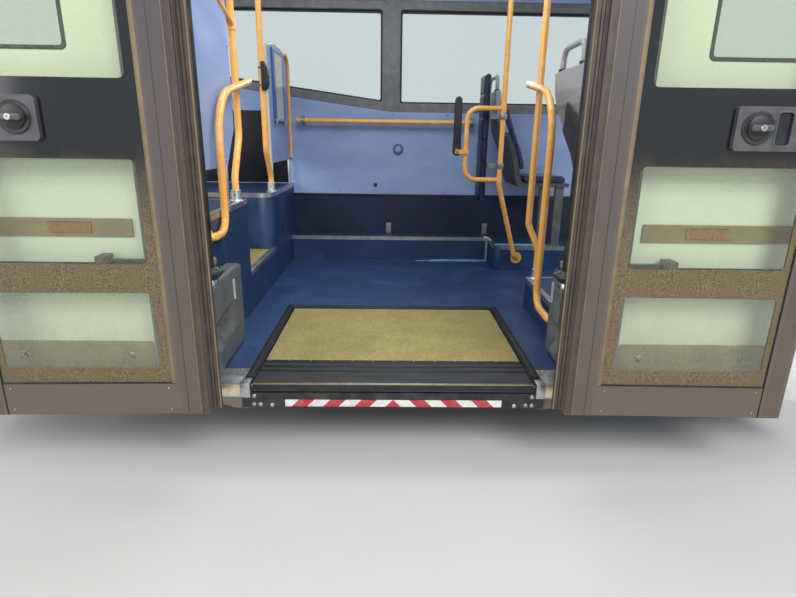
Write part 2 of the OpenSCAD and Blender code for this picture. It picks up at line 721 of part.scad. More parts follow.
module rail_fittings() color("#9a9da0") {
    translate([post_x, a_foot, near_platform_z]) cylinder(r = socket_r, h = socket_h);
    translate([post_x, b_foot, far_platform_z]) cylinder(r = socket_r, h = socket_h);
    translate([d_foot, d_y - 40, podium_z]) cylinder(r = socket_r, h = socket_h);
    for (x = [wall_rail_x0 + 35, wall_rail_x1 - 20]) translate([x, 0, wall_rail_z]) difference() {
        union() {
            translate([0, wall_rail_y, 0]) rotate([0, 90, 0]) cylinder(r = tube_r + 7, h = 30);
            block(0, wall_rail_y, -14, 30, wall_y, 14);
        }
        translate([-1, wall_rail_y, 0]) rotate([0, 90, 0]) cylinder(r = tube_r + 0.05, h = 32);
    }
}

// Backrest of the wheelchair place, and its folding arm

pad_x = 636;
pad_t = 34;
pad_w = 230;
pad_y = c_y + tube_r + 24;
pad_low = 705;
pad_top = 1585;
module backrest_pad() color("#24365f") upright(pad_y, pad_y + pad_w)
    polygon(rounded(box_outline(pad_x - pad_t / 2, pad_low, pad_x + pad_t / 2, pad_top), 12));

bracket_z = 1282;
bracket_h = 34;
module pad_bracket() color("#8d9093") for (z = [bracket_z, 960]) translate([0, 0, z]) difference() {
    union() {
        translate([c_x, c_y, 0]) cylinder(r = tube_r + 8, h = bracket_h);
        block(pad_x + pad_t / 2, c_y + 10, 0, c_x, c_y + 26, bracket_h);
        block(pad_x + pad_t / 2, c_y + 10, 0, pad_x + pad_t / 2 + 12, pad_y + 60, bracket_h);
    }
    translate([c_x, c_y, -1]) cylinder(r = tube_r + 0.1, h = bracket_h + 2);
}

arm_pivot = [c_x - loop_l - tube_r - 44, c_y, 1068];
arm_len = 330;
arm_half = 23;
arm_hub = 28;
module folding_arm() color("#3b3d41") difference() {
    union() {
        translate([arm_pivot.x, arm_pivot.y + 13, arm_pivot.z]) rotate([90, 0, 0])
            cylinder(r = arm_hub, h = 26);
        translate([arm_pivot.x, 0, arm_pivot.z]) upright(arm_pivot.y - 13, arm_pivot.y + 13)
            polygon([[-arm_hub, 0], [arm_hub, 0], [arm_half + 3, 90], [arm_half, arm_len], [-arm_half, arm_len],
                     [-arm_half - 3, 90]]);
        translate([arm_pivot.x, arm_pivot.y + 13, arm_pivot.z + arm_len]) rotate([90, 0, 0])
            cylinder(r = arm_half, h = 26);
    }
    translate([arm_pivot.x, arm_pivot.y + 14, arm_pivot.z]) rotate([90, 0, 0]) cylinder(r = 8.05, h = 28);
}

module arm_bracket() color("#f0a850") difference() {
    union() {
        translate([arm_pivot.x, arm_pivot.y + 27, arm_pivot.z]) rotate([90, 0, 0]) cylinder(r = 8, h = 54);
        for (y = [-27, 19]) block(arm_pivot.x - 12, arm_pivot.y + y, arm_pivot.z - 14, c_x - loop_l,
                                  arm_pivot.y + y + 8, arm_pivot.z + 14);
        translate([c_x - loop_l, c_y, arm_pivot.z - 14]) cylinder(r = 27, h = 28);
    }
    translate([c_x - loop_l, c_y, arm_pivot.z - 15]) cylinder(r = tube_r - 0.9, h = 30);
}

bell_z = 1436;                        // lower end of the bell push on the stanchion
bell_h = 128;
bell_w = 48;
bell_d = 62;
wall_bell_x = 43;
wall_bell_z = 1068;
wall_bell_r = 38;
module bell_pushes() color("#202226") {
    block(post_x - bell_w / 2, b_y + tube_r, bell_z, post_x + bell_w / 2, b_y + tube_r + bell_d,
          bell_z + bell_h);
    translate([wall_bell_x, wall_y, wall_bell_z]) rotate([90, 0, 0]) cylinder(r = wall_bell_r, h = 16);
}

// Seats: each row holds the back's left end and the middle of the seat
near_seat_y = -wall_y + seat_w / 2 + 47;
seat_rows = [[podium_x - 75, wall_y - seat_w / 2 - 11], [podium_x + 25, near_seat_y + seat_w + 40],
             [podium_x + 25, near_seat_y]];

module at_seats() for (row = seat_rows) translate([row[0], row[1], podium_z - trim_t]) children();

back_top = 1090;
shell_t = 38;
pan_end = 590;                        // front edge of a seat's pan
// Rear face of a seat's back in X and Z, from its top down to the pan, and the cushion's face in front of it
back_line = [[10, back_top], [18, 1000], [32, 935], [84, 815], [137, 705], [168, 600], [186, 500]];
module seat_shell() {
    handle_y = seat_w / 2 - 60;
    upright(-seat_w / 2, seat_w / 2) polygon(concat(back_line, [[208, pan_z + 12], [222, pan_z],
        [pan_end, pan_z], [pan_end, pan_z + 26], [260, pan_z + 26], [236, pan_z + 44]],
        [for (i = [len(back_line) - 2 : -1 : 0]) back_line[i] + [shell_t, i == 0 ? -6 : 4]],
        [[30, back_top + 12]]));
    translate([30, 0, 0]) pipe([[0, -handle_y, back_top - 6], [0, -handle_y, back_top + 105],
        [0, handle_y, back_top + 105], [0, handle_y, back_top - 6]], 14, 60);
}

module seat_shells() color("#6d7176") at_seats() seat_shell();

cushion_line = [[62, 1030], [68, 1000], [81, 940], [132, 820], [185, 706], [215, 600], [226, 550]];
back_cushion_t = 36;
module seat_cushions() color("#24365f") at_seats() {
    upright(-seat_w / 2 + 12, seat_w / 2 - 12) polygon(rounded(box_outline(268, pan_z + 26 + fit,
        pan_end - 6, pan_z + 26 + cushion_t), 18));
    upright(-seat_w / 2 + 12, seat_w / 2 - 12) polygon(concat(cushion_line,
        [for (i = [len(cushion_line) - 1 : -1 : 0]) cushion_line[i] + [back_cushion_t, 2]]));
}

module seat_legs() color("#7d8085") at_seats()
    for (leg = [[388, 44], [502, 60]])
        block(leg[0], -seat_w / 2 + 20, 0, leg[0] + leg[1], -seat_w / 2 + 60, pan_z);

// Covers at the feet of the turning columns: a housing with a bearing ring, and a long part behind it

cover_z = 590;
ring_h = 19;
ring_r = column_r + 9;
cover_in = 34;                        // from a column's middle to the doorway side of its housing
cover_foot = 300;                     // where a housing starts to taper to its foot
cover_back = sill_y + sill_d;         // where a housing ends and its long part starts
// Of each cover: its side of the doorway, the post side of the housing, the face and the wall side of the
// long part, and the long part's rear end
cover_rows = [[-1, riser_x + 5, riser_x + 78, riser_x + 5, -752],
              [1, door_x + post_in - 9, podium_x - 63, podium_x - 5, -858]];
module mech_covers() color("#6a6e70") difference() {
    union() {
        for (row = cover_rows) {
            housing_x = door_x + row[0] * (column_out - cover_in);
            upright(column_y - 55, cover_back) polygon([[housing_x, cover_z - 14],
                [housing_x + row[0] * 14, cover_z], [row[1], cover_z], [row[1], floor_z + sill_up],
                [row[2], floor_z + sill_up], [housing_x, cover_foot]]);
            crosswise(min(row[2], row[3]), max(row[2], row[3])) polygon([[cover_back - 20, cover_z - 6],
                [cover_back - 20, floor_z + sill_up], [cover_back, floor_z + sill_up], [cover_back, floor_z],
                [row[4], floor_z], [row[4], cover_z - 20], [row[4] - 14, cover_z - 6]]);
        }
        for (side = [-1, 1]) translate([door_x + side * column_out, column_y, cover_z])
            cylinder(r = ring_r, h = ring_h);
    }
    for (side = [-1, 1]) translate([door_x + side * column_out, column_y, cover_z - 16])
        cylinder(r = column_r + 0.05, h = ring_h + 17);
}

// Turning columns with their bent arms, drawn for the front leaf and mirrored for the rear one

arm_bend = 60;
module bent_arm(z) translate([column_out, column_y, z]) linear_extrude(arm_h) difference() {
    union() {
        translate([-arm_w / 2, arm_bend - arm_out]) square([arm_w, arm_out - arm_bend]);
        intersection() {
            translate([arm_bend, arm_bend - arm_out]) difference() {
                circle(r = arm_bend + arm_w / 2);
                circle(r = arm_bend - arm_w / 2);
            }
            translate([-arm_w, -arm_out - arm_w]) square([arm_bend + arm_w, arm_bend + arm_w]);
        }
        translate([arm_bend, -arm_out - arm_w / 2]) square([arm_reach - arm_bend, arm_w]);
        translate([arm_reach, -arm_out]) circle(r = pivot_r + 8);
    }
    translate([arm_reach, -arm_out]) circle(r = pivot_r + 0.05);
}

module column() {
    translate([column_out, column_y, cover_z - 15]) cylinder(r = column_r, h = drive_z + 19 - cover_z + 15);
    bent_arm(low_arm_z);
    bent_arm(top_arm_z);
}

module column_rear() color("#1c1d1f") leaf_side(-1) column();
module column_front() color("#1c1d1f") leaf_side(1) column();

// A leaf in its own frame: u from the rigid meeting edge, y from the outer face, z up

ear_t = 14;
bar_z = 640;
bar_h = 70;
groove = 3;
groove_d = 0.6;
glass_in = 6;
glass_t = 8;
module at_leaf() translate([open_edge + pivot_u, -leaf_face, 0])
    translate([0, leaf_face + column_y - arm_out, 0]) rotate([0, 0, -toe])
    translate([-pivot_u, -leaf_face - column_y + arm_out, 0]) children();

module pivot_ears(z) translate([pivot_u, leaf_t, z]) {
    depth = leaf_face + column_y - arm_out - leaf_t;
    for (dz = [-5 - ear_t, arm_h + 5]) block(-18, 0, dz, 18, depth + pivot_r + 4, dz + ear_t);
    translate([0, depth, -5]) cylinder(r = pivot_r, h = arm_h + 10);
}

module leaf_frame() at_leaf() difference() {
    union() {
        block(0, 0, leaf_low, stile_w, leaf_t, leaf_top);
        block(leaf_w - outer_stile_w, 0, leaf_low, leaf_w, leaf_t, leaf_top);
        block(stile_w, 2, leaf_low, leaf_w - outer_stile_w, leaf_t, leaf_low + rail_h);
        block(stile_w, 2, top_arm_z - 30, leaf_w - outer_stile_w, leaf_t, leaf_top);
        block(stile_w, glass_in + glass_t, bar_z, leaf_w - outer_stile_w, leaf_t, bar_z + bar_h);
        block(pivot_u - 18, glass_in + glass_t, bar_z, pivot_u + 18, leaf_t, low_arm_z + arm_h + 5 + ear_t);
        pivot_ears(low_arm_z);
        pivot_ears(top_arm_z);
    }
    for (u = [14 : 2 * groove : stile_w - 12]) block(u, -1, leaf_low + 2, u + groove, groove_d, leaf_top - 2);
    for (u = [leaf_w - outer_stile_w + 14 : 2 * groove : leaf_w - 14])
        block(u, -1, leaf_low + 2, u + groove, groove_d, leaf_top - 2);
}

module leaf_glass() at_leaf()
    block(stile_w, glass_in, leaf_low + rail_h, leaf_w - outer_stile_w, glass_in + glass_t, top_arm_z - 30);

module leaf_lip() at_leaf() difference() {
    block(-lip_w, 14, leaf_low + 15, 0, 34, leaf_top - 10);
    for (u = [-lip_w + 14, -lip_w + 26]) block(u, 13, leaf_low, u + 5, 18, leaf_top);
}

lock_u = 442;
lock_l = 228;
lock_z = 1125;
lock_h = 139;
knob_u = lock_u + 70;
knob_z = lock_z + 72;
module leaf_lock() at_leaf() difference() {
    union() {
        upright(-12, glass_in)
            polygon(rounded(box_outline(lock_u, lock_z, lock_u + lock_l, lock_z + lock_h), 16));
        translate([knob_u, -12, knob_z]) rotate([90, 0, 0]) cylinder(r = 50, h = 5);
        translate([knob_u, -12, knob_z]) rotate([90, 0, 0]) cylinder(r = 36, h = 10);
        block(knob_u - 33, -30, knob_z - 8, knob_u + 33, -17, knob_z + 8);
    }
    block(lock_u + 131, -13, lock_z + 18, lock_u + 180, -4, lock_z + lock_h - 18);
}

module leaf_rear_frame() color("#7b7068") leaf_side(-1) leaf_frame();
module leaf_rear_glass() color("#5e6b62") leaf_side(-1) leaf_glass();
module leaf_rear_lip() color("#232324") leaf_side(-1) leaf_lip();
module leaf_rear_lock() color("#2c2d2f") leaf_side(-1) leaf_lock();
module leaf_front_frame() color("#7b7068") leaf_side(1) leaf_frame();
module leaf_front_glass() color("#5e6b62") leaf_side(1) leaf_glass();
module leaf_front_lip() color("#232324") leaf_side(1) leaf_lip();
module leaf_front_lock() color("#2c2d2f") leaf_side(1) leaf_lock();

// Folding ramp, hinged at the outer edge of the sill

module ramp_plate() color("#8f9396") {
    block(-ramp_w / 2, ramp_face, ramp_base, ramp_w / 2, ramp_end, ramp_base + ramp_t);
    for (side = [-1, 1]) rod([side * (ramp_w / 2 - 10), hinge_y, hinge_z],
                             [side * (ramp_w / 2 + 25), hinge_y, hinge_z], ramp_pin_r);
}

module ramp_yellow_pad() color("#b0a768")
    block(-ramp_w / 2 + 6, ramp_face + strip_l, ramp_base + ramp_t, ramp_w / 2 - 6, ramp_end - 6, ramp_top);

module ramp_black_tread() color("#1f2022")
    block(-ramp_w / 2, ramp_face, ramp_base + ramp_t, ramp_w / 2, ramp_face + strip_l - 2, ramp_top);

underframe();
floor();
ramp_frame();
sill_ends();
door_posts();
wall_near();
lining_near();
wall_far();
lining_far();
lining_low();
window_frames();
window_glass();
window_seals();
rub_rails();
marker_lamps();
roof();
ceiling();
drive_cover();
door_drive();
wall_duct();
rear_platforms();
rear_steps();
podiums();
edge_trims();
step_tread();
screens();
screen_rail();
poster_frame();
rear_stanchions();
front_stanchions();
grab_rails();
wall_rail();
rail_fittings();
backrest_pad();
pad_bracket();
arm_bracket();
bell_pushes();
seat_shells();
seat_cushions();
seat_legs();
mech_covers();
column_rear();
column_front();
leaf_rear_frame();
leaf_rear_glass();
leaf_rear_lip();
leaf_rear_lock();
leaf_front_frame();
leaf_front_glass();
leaf_front_lip();
leaf_front_lock();
ramp_plate();
ramp_yellow_pad();
ramp_black_tread();
folding_arm();
roof_hatch();
drive_flap();
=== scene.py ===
"""Looks of a bus middle doorway bay: finishes, glass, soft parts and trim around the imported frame.

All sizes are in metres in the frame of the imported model: +X to the bus's front, +Y into the bus, +Z up.
"""
import json
import math

import bmesh
import bpy
from mathutils import Matrix, Vector
from mathutils.bvhtree import BVHTree


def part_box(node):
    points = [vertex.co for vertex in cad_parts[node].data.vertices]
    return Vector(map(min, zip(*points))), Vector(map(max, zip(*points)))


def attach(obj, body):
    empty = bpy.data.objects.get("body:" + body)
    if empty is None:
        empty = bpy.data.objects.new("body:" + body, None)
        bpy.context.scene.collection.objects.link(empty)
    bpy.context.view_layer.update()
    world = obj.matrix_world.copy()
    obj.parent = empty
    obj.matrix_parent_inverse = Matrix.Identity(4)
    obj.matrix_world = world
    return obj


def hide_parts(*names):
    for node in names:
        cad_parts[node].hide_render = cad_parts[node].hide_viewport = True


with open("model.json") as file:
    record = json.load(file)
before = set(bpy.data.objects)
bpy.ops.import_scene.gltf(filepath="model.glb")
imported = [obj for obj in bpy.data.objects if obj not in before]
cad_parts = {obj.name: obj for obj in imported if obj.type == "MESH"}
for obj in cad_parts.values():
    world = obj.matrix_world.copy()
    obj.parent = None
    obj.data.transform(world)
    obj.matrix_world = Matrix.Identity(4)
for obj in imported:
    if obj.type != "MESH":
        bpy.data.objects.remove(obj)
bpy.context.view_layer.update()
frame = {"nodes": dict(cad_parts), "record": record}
NODES = frame["nodes"]
JOINT_PLACES = {joint["name"]: Vector(joint["pos_m"]) for joint in frame["record"]["behaviour"]["joints"]}

# Places that the looks share with the frame
DOOR_X = -0.023
SKIN_Y = -1.275
WALL_Y = 1.197
FLOOR_Z = 0.2
LEAF_EDGE = 0.674
LEAF_OUT = 0.09
LEAF_W = 0.82
LEAF_T = 0.04
LEAF_TOE = math.radians(1.3)
STILE_W = 0.112
OUTER_STILE_W = 0.08
GLASS_LOW, GLASS_TOP = 0.27, 2.05
BODY_LOW, BODY_TOP = 0.17, 2.44
HALF_L = 1.8
CEILING_Z = 2.42
ROOF_TOP, ROOF_R = 2.64, 9.0
COLUMN_OUT, COLUMN_Y = 0.705, -1.135
# X of the rear stanchions and of the screens between them
POST_X = -0.812
# The far screen's arched top: height, radius and the arc's middle
SCREEN_TOP, SCREEN_R, SCREEN_MID = 1.74, 1.4, 0.8425
# Height at which a seat's light head part meets its dark shell
SHELL_JOINT_Z = 1.2
# Pivot of the folding arm, axis of the wall rail and place of the stanchion with the loop
ARM_X, ARM_Z = 0.435, 1.068
WALL_RAIL_Y, WALL_RAIL_Z = 1.127, 1.27
LOOP_X, LOOP_Y = 0.739, 0.6
# Top of the dark low lining, and the face of the duct along the far wall
LOW_LINING_TOP, DUCT_Y = 0.7, 1.0325
# Directions: out of the doorway's side, into the bus, up, down, to its front and to its rear
OUT, INTO, UP, DOWN, FORE, AFT = (0, -1, 0), (0, 1, 0), (0, 0, 1), (0, 0, -1), (1, 0, 0), (-1, 0, 0)


def linear(code):
    """An sRGB hex colour as linear red, green, blue and alpha."""
    parts = [int(code[i:i + 2], 16) / 255 for i in (1, 3, 5)]
    return [p / 12.92 if p <= 0.04045 else ((p + 0.055) / 1.055) ** 2.4 for p in parts] + [1.0]


def add(tree, kind, inputs=None, **settings):
    """Adds a shader node with its settings. inputs maps a socket to a value or to a feeding socket."""
    node = tree.nodes.new("ShaderNode" + kind)
    for name, value in settings.items():
        setattr(node, name, value)
    for name, value in (inputs or {}).items():
        if isinstance(value, bpy.types.NodeSocket):
            tree.links.new(value, node.inputs[name])
        else:
            node.inputs[name].default_value = value
    return node


# Sockets of the Mix node when it mixes colours
FACTOR, FIRST, SECOND, MIXED = 0, 6, 7, 2


def start(name, **shader):
    """A new material: its node tree, its Principled shader and the position in the frame, in metres."""
    material = bpy.data.materials.new(name)
    material.use_nodes = True
    tree = material.node_tree
    tree.nodes.clear()
    surface = add(tree, "BsdfPrincipled", {key.replace("_", " "): value for key, value in shader.items()})
    tree.links.new(surface.outputs[0], add(tree, "OutputMaterial").inputs[0])
    return material, tree, surface, add(tree, "TexCoord").outputs["Object"]


def noise(tree, place, size, detail=3.0, roughness=0.55):
    """Noise whose main blobs are about size metres across."""
    return add(tree, "TexNoise", {"Vector": place, "Scale": 1 / size, "Detail": detail,
                                  "Roughness": roughness}).outputs[0]


def spread(tree, value, low, high, to_low=0.0, to_high=1.0):
    """Maps low..high of a value to to_low..to_high, held at the ends."""
    return add(tree, "MapRange", {0: value, 1: low, 2: high, 3: to_low, 4: to_high}).outputs[0]


def blend(tree, factor, first, second):
    """Mixes two colours, given as hex or as sockets."""
    ends = [linear(c) if isinstance(c, str) else c for c in (first, second)]
    return add(tree, "Mix", {FACTOR: factor, FIRST: ends[0], SECOND: ends[1]},
               data_type="RGBA").outputs[MIXED]


def combine(tree, operation, first, second=0.0):
    """A sum on two values or sockets."""
    return add(tree, "Math", {0: first, 1: second}, operation=operation).outputs[0]


def finish_surface(tree, surface, colour=None, roughness=None, height=None, depth=0.0002):
    """Feeds a material's colour, roughness and bump; depth is the bump's height in metres."""
    for name, value in (("Base Color", colour), ("Roughness", roughness)):
        if value is not None:
            tree.links.new(value, surface.inputs[name])
    if height is not None:
        bump = add(tree, "Bump", {"Height": height, "Distance": depth, "Strength": 1.0})
        tree.links.new(bump.outputs[0], surface.inputs["Normal"])


def stretched(tree, place, x, y, z):
    """Positions scaled by axis, so that a noise becomes streaks."""
    return add(tree, "VectorMath", {0: place, 1: (x, y, z)}, operation="MULTIPLY").outputs[0]


def axis_of(tree, place, axis):
    """One axis of a position: 0, 1 or 2."""
    return add(tree, "SeparateXYZ", {0: place}).outputs[axis]


def worn(name, clean, dirty, patch, window, grain, depth, rough=None, **shader):
    """A material that turns from clean to dirty in patches, where the patch noise rises through the window.

    patch and grain are the size, detail and roughness of a noise, and rough the roughness at both ends.
    """
    material, tree, surface, place = start(name, **shader)
    wear = spread(tree, noise(tree, place, *patch), *window)
    finish_surface(tree, surface, blend(tree, wear, clean, dirty), rough and spread(tree, wear, 0, 1, *rough),
                   noise(tree, place, *grain), depth)
    return material


def bus_paint():
    """Two-pack polyurethane on aluminium sheet: gloss with slight orange peel, dustier near the road."""
    material, tree, surface, place = start("polyurethane_bus_paint", Roughness=0.28, Coat_Weight=0.5,
                                           Coat_Roughness=0.12)
    dust = combine(tree, "MULTIPLY", spread(tree, axis_of(tree, place, 2), 0.65, 0.15),
                   spread(tree, noise(tree, place, 0.12, 6), 0.35, 0.7, 0.2, 1.0))
    finish_surface(tree, surface, blend(tree, dust, "#e3e6e6", "#bdb9ac"),
                   spread(tree, dust, 0, 1, 0.26, 0.6),
                   noise(tree, place, 0.004), 0.00008)
    return material


def wall_laminate(name, base, smeared):
    """High-pressure laminate in light blue: a fine moulded stipple, satin, with faint cleaning smears."""
    material, tree, surface, place = start(name, Roughness=0.42)
    smear = noise(tree, stretched(tree, place, 1, 1, 3), 0.35, 4)
    finish_surface(tree, surface, blend(tree, spread(tree, smear, 0.35, 0.7), base, smeared),
                   spread(tree, smear, 0.3, 0.7, 0.36, 0.5), noise(tree, place, 0.0025, 2), 0.00006)
    return material


def vinyl(name, base, worn, grit):
    """Safety vinyl: a matt sheet with fine hard grit that glints, scuffed lighter by shoes."""
    material, tree, surface, place = start(name, Roughness=0.6)
    scuff = spread(tree, noise(tree, place, 0.22, 8, 0.65), 0.48, 0.75)
    speck = spread(tree, noise(tree, place, 0.0035, 1), 0.62, 0.72)
    colour = blend(tree, speck, blend(tree, scuff, base, worn), grit)
    finish_surface(tree, surface, colour, spread(tree, scuff, 0, 1, 0.45, 0.7),
                   noise(tree, place, 0.003, 2), 0.00012)
    return material


def yellow_safety_floor():
    """Yellow safety vinyl with coarse grit: dirty pores and worn, browner walking marks."""
    material, tree, surface, place = start("yellow_safety_vinyl", Roughness=0.8)
    pores = spread(tree, noise(tree, place, 0.005, 4, 0.75), 0.4, 0.6)
    worn = spread(tree, noise(tree, place, 0.16, 7, 0.65), 0.4, 0.72)
    base = blend(tree, worn, "#bcb070", "#a2955a")
    finish_surface(tree, surface, blend(tree, pores, "#857a48", base), None, pores, 0.0005)
    return material


def black_ramp_rubber():
    """Ribbed black rubber with pale dust in its grain."""
    material, tree, surface, place = start("black_ribbed_rubber", Roughness=0.62)
    dust = spread(tree, noise(tree, stretched(tree, place, 0.3, 1, 1), 0.04, 8, 0.7), 0.4, 0.8)
    finish_surface(tree, surface, blend(tree, dust, "#22252b", "#3f4148"), None,
                   noise(tree, place, 0.002), 0.0002)
    return material


def seal_rubber(name, clean, bloomed):
    """Extruded EPDM rubber: soft sheen, slight bloom."""
    return worn(name, clean, bloomed, (0.04, 5), (0.4, 0.8), (0.0015,), 0.00008, Roughness=0.5)



def handrail_coat():
    """Epoxy powder coat in orange-yellow on steel tube: glossy, slight peel, rubbed paler where held."""
    return worn("orange_powder_coat", "#fdb75c", "#fdcb84", (0.09, 6), (0.52, 0.72), (0.003, 2), 0.00006,
                (0.26, 0.42), Roughness=0.3, Coat_Weight=0.35, Coat_Roughness=0.1)



def black_coat():
    """Black powder coat on steel, with road dust on it."""
    return worn("black_powder_coat", "#1d1e20", "#45433f", (0.06, 7, 0.65), (0.45, 0.8), (0.003,), 0.0001,
                (0.38, 0.65), Roughness=0.45)



def underbody_wax(name, clean, dirty):
    """Grey-black underbody wax over welded steel: uneven, half matt, with dried road dirt."""
    return worn(name, clean, dirty, (0.1, 7), (0.4, 0.75), (0.006, 5), 0.0004, Roughness=0.6)



def anodised(name, base, dirty, rough=0.38):
    """Anodised aluminium extrusion: drawn lines along its length, and dirt that lies in patches."""
    material, tree, surface, place = start(name, Metallic=1.0, Roughness=rough)
    lines = noise(tree, stretched(tree, place, 1, 1, 0.02), 0.002, 2)
    dirt = spread(tree, noise(tree, place, 0.05, 7, 0.65), 0.45, 0.8)
    finish_surface(tree, surface, blend(tree, dirt, base, dirty),
                   spread(tree, lines, 0.3, 0.7, rough - 0.08, rough + 0.12), lines, 0.00004)
    return material


def bronze_profile():
    """Bronze-grey lacquered aluminium profile: half matt, under brown road dust that thins upwards."""
    material, tree, surface, place = start("bronze_lacquered_profile", Metallic=0.15, Roughness=0.55)
    dust = combine(tree, "MULTIPLY", spread(tree, axis_of(tree, place, 2), 1.7, 0.2, 0.05, 1.0),
                   spread(tree, noise(tree, place, 0.14, 6, 0.65), 0.3, 0.7, 0.75, 1.0))
    finish_surface(tree, surface, blend(tree, dust, "#524c50", "#695d51"),
                   spread(tree, dust, 0, 1, 0.45, 0.68),
                   noise(tree, place, 0.003, 4), 0.00008)
    return material


def moulded(name, base, lighter, rough=0.5, grain=0.0018):
    """Injection-moulded ABS with a leather-like grain."""
    material, tree, surface, place = start(name, Roughness=rough)
    wear = spread(tree, noise(tree, place, 0.07, 6), 0.45, 0.75)
    cells = add(tree, "TexVoronoi", {"Vector": place, "Scale": 1 / grain}).outputs[0]
    finish_surface(tree, surface, blend(tree, wear, base, lighter),
                   spread(tree, wear, 0, 1, rough - 0.06, rough + 0.1),
                   cells, 0.00008)
    return material


def two_tone_shell():
    """Moulded polypropylene seat: a light grey head part over a dark grey shell, both finely grained."""
    material, tree, surface, place = start("two_tone_seat_pp", Roughness=0.5)
    wear = spread(tree, noise(tree, place, 0.07, 6), 0.45, 0.75)
    head = spread(tree, axis_of(tree, place, 2), SHELL_JOINT_Z - 0.002, SHELL_JOINT_Z + 0.002)
    tone = blend(tree, head, blend(tree, wear, "#47494d", "#56575b"), blend(tree, wear, "#a0a3a8", "#adafb3"))
    finish_surface(tree, surface, tone, spread(tree, wear, 0, 1, 0.44, 0.6),
                   noise(tree, place, 0.0018, 2), 0.00008)
    return material


def safety_glass(name, tint, film_low, film_high, mud_top=None):
    """Toughened glass: clear with a body tint, a thin dust film, and dried splashes up to mud_top."""
    material, tree, surface, place = start(name, Roughness=0.03, IOR=1.5)
    film = spread(tree, noise(tree, place, 0.007, 4, 0.75), 0.5, 0.74, film_low, film_high)
    if mud_top:
        splash = combine(tree, "MULTIPLY", spread(tree, noise(tree, place, 0.004, 3, 0.8), 0.45, 0.62),
                         spread(tree, axis_of(tree, place, 2), mud_top, mud_top - 0.5, 0.0, 0.26))
        film = combine(tree, "MAXIMUM", film, splash)
    clear = add(tree, "BsdfTransparent", {"Color": linear(tint)}).outputs[0]
    tree.links.new(blend(tree, spread(tree, film, 0.05, 0.4), "#dfe4df", "#9c9379"),
                   surface.inputs["Base Color"])
    tree.links.new(spread(tree, film, 0.1, 0.5, 0.03, 0.8), surface.inputs["Roughness"])
    mixed = add(tree, "MixShader", {0: film, 1: clear, 2: surface.outputs[0]}).outputs[0]
    tree.links.new(mixed, next(n for n in tree.nodes if n.type == "OUTPUT_MATERIAL").inputs[0])
    return material


def dusty_print():
    """Black ceramic print fused to the door glass: smooth above, under a speckled film of dried mud below."""
    material, tree, surface, place = start("black_ceramic_print", Roughness=0.1)
    rise = combine(tree, "ADD", axis_of(tree, place, 2), spread(tree, noise(tree, place, 0.15, 6), 0.3,
                                                                0.7, -0.03, 0.03))
    mud = spread(tree, rise, 1.12, 0.8)
    specks = spread(tree, noise(tree, place, 0.0036, 2, 0.6), 0.4, 0.6)
    film = blend(tree, specks, "#50442f", "#7d6d52")
    finish_surface(tree, surface, blend(tree, mud, "#1b1e22", film), spread(tree, mud, 0, 1, 0.1, 0.85),
                   combine(tree, "MULTIPLY", specks, mud), 0.0002)
    return material


def lamp_lens(name, dark, bright):
    """Polycarbonate lens with moulded prisms 6 mm apart, painted darker in the prisms' valleys and lighter on
    their crests as shade and highlight.
    """
    material, tree, surface, place = start(name, Roughness=0.15, IOR=1.58)
    prisms = combine(tree, "PINGPONG", axis_of(tree, place, 0), 0.003)
    ridge = spread(tree, prisms, 0, 0.003)
    # Colour ramps from dark in each valley to bright on each crest: painted shade and highlight on the prisms
    finish_surface(tree, surface, blend(tree, ridge, dark, bright), None, ridge, 0.0012)
    return material


def woven(name, base, thread, size=0.0018):
    """Flat-woven moquette: two crossing threads, a little sheen, a sparse lighter fleck."""
    material, tree, surface, place = start(name, Roughness=0.9, Sheen_Weight=0.4)
    waves = [add(tree, "TexWave", {"Vector": place, "Scale": 0.31 / size}, bands_direction=axis).outputs[0]
             for axis in ("X", "Y", "Z")]
    cross = combine(tree, "MULTIPLY", combine(tree, "MAXIMUM", waves[0], waves[2]), waves[1])
    patch = spread(tree, noise(tree, place, 0.02, 4), 0.5, 0.6)
    finish_surface(tree, surface, blend(tree, cross, blend(tree, patch, base, thread), base),
                   None, cross, 0.0005)
    return material


def imitation_leather():
    """PVC-coated fabric in navy: embossed hide grain and soft shine on the creases."""
    material, tree, surface, place = start("navy_imitation_leather", Roughness=0.48)
    grain = add(tree, "TexVoronoi", {"Vector": place, "Scale": 1 / 0.003},
                feature="DISTANCE_TO_EDGE").outputs[0]
    wear = spread(tree, noise(tree, place, 0.06, 5), 0.45, 0.75)
    finish_surface(tree, surface, blend(tree, wear, "#111d45", "#1e2e60"),
                   spread(tree, wear, 0, 1, 0.4, 0.55),
                   grain, 0.0003)
    return material


TAPE_PERIOD = 0.126
TAPE_LOW = 0.1055


def chevron_tape():
    """Retroreflective tape: slanted red and white blocks that meet in the middle, over fine beads."""
    material, tree, surface, place = start("retroreflective_tape", Roughness=0.35, Coat_Weight=0.4)
    out = combine(tree, "ABSOLUTE", combine(tree, "SUBTRACT", axis_of(tree, place, 0), -0.003))
    slant = combine(tree, "ADD", out, combine(tree, "SUBTRACT", axis_of(tree, place, 2), TAPE_LOW
                                              - TAPE_PERIOD / 4))
    red = combine(tree, "LESS_THAN", combine(tree, "MODULO", slant, TAPE_PERIOD), TAPE_PERIOD / 2)
    beads = add(tree, "TexVoronoi", {"Vector": place, "Scale": 1 / 0.003}).outputs[0]
    grime = spread(tree, noise(tree, place, 0.03, 6), 0.45, 0.8)
    colour = blend(tree, red, "#dedcd6", "#b3243a")
    finish_surface(tree, surface, blend(tree, combine(tree, "MULTIPLY", grime, 0.5), colour,
                                        "#8d8577"), None, beads,
                   0.00008)
    return material


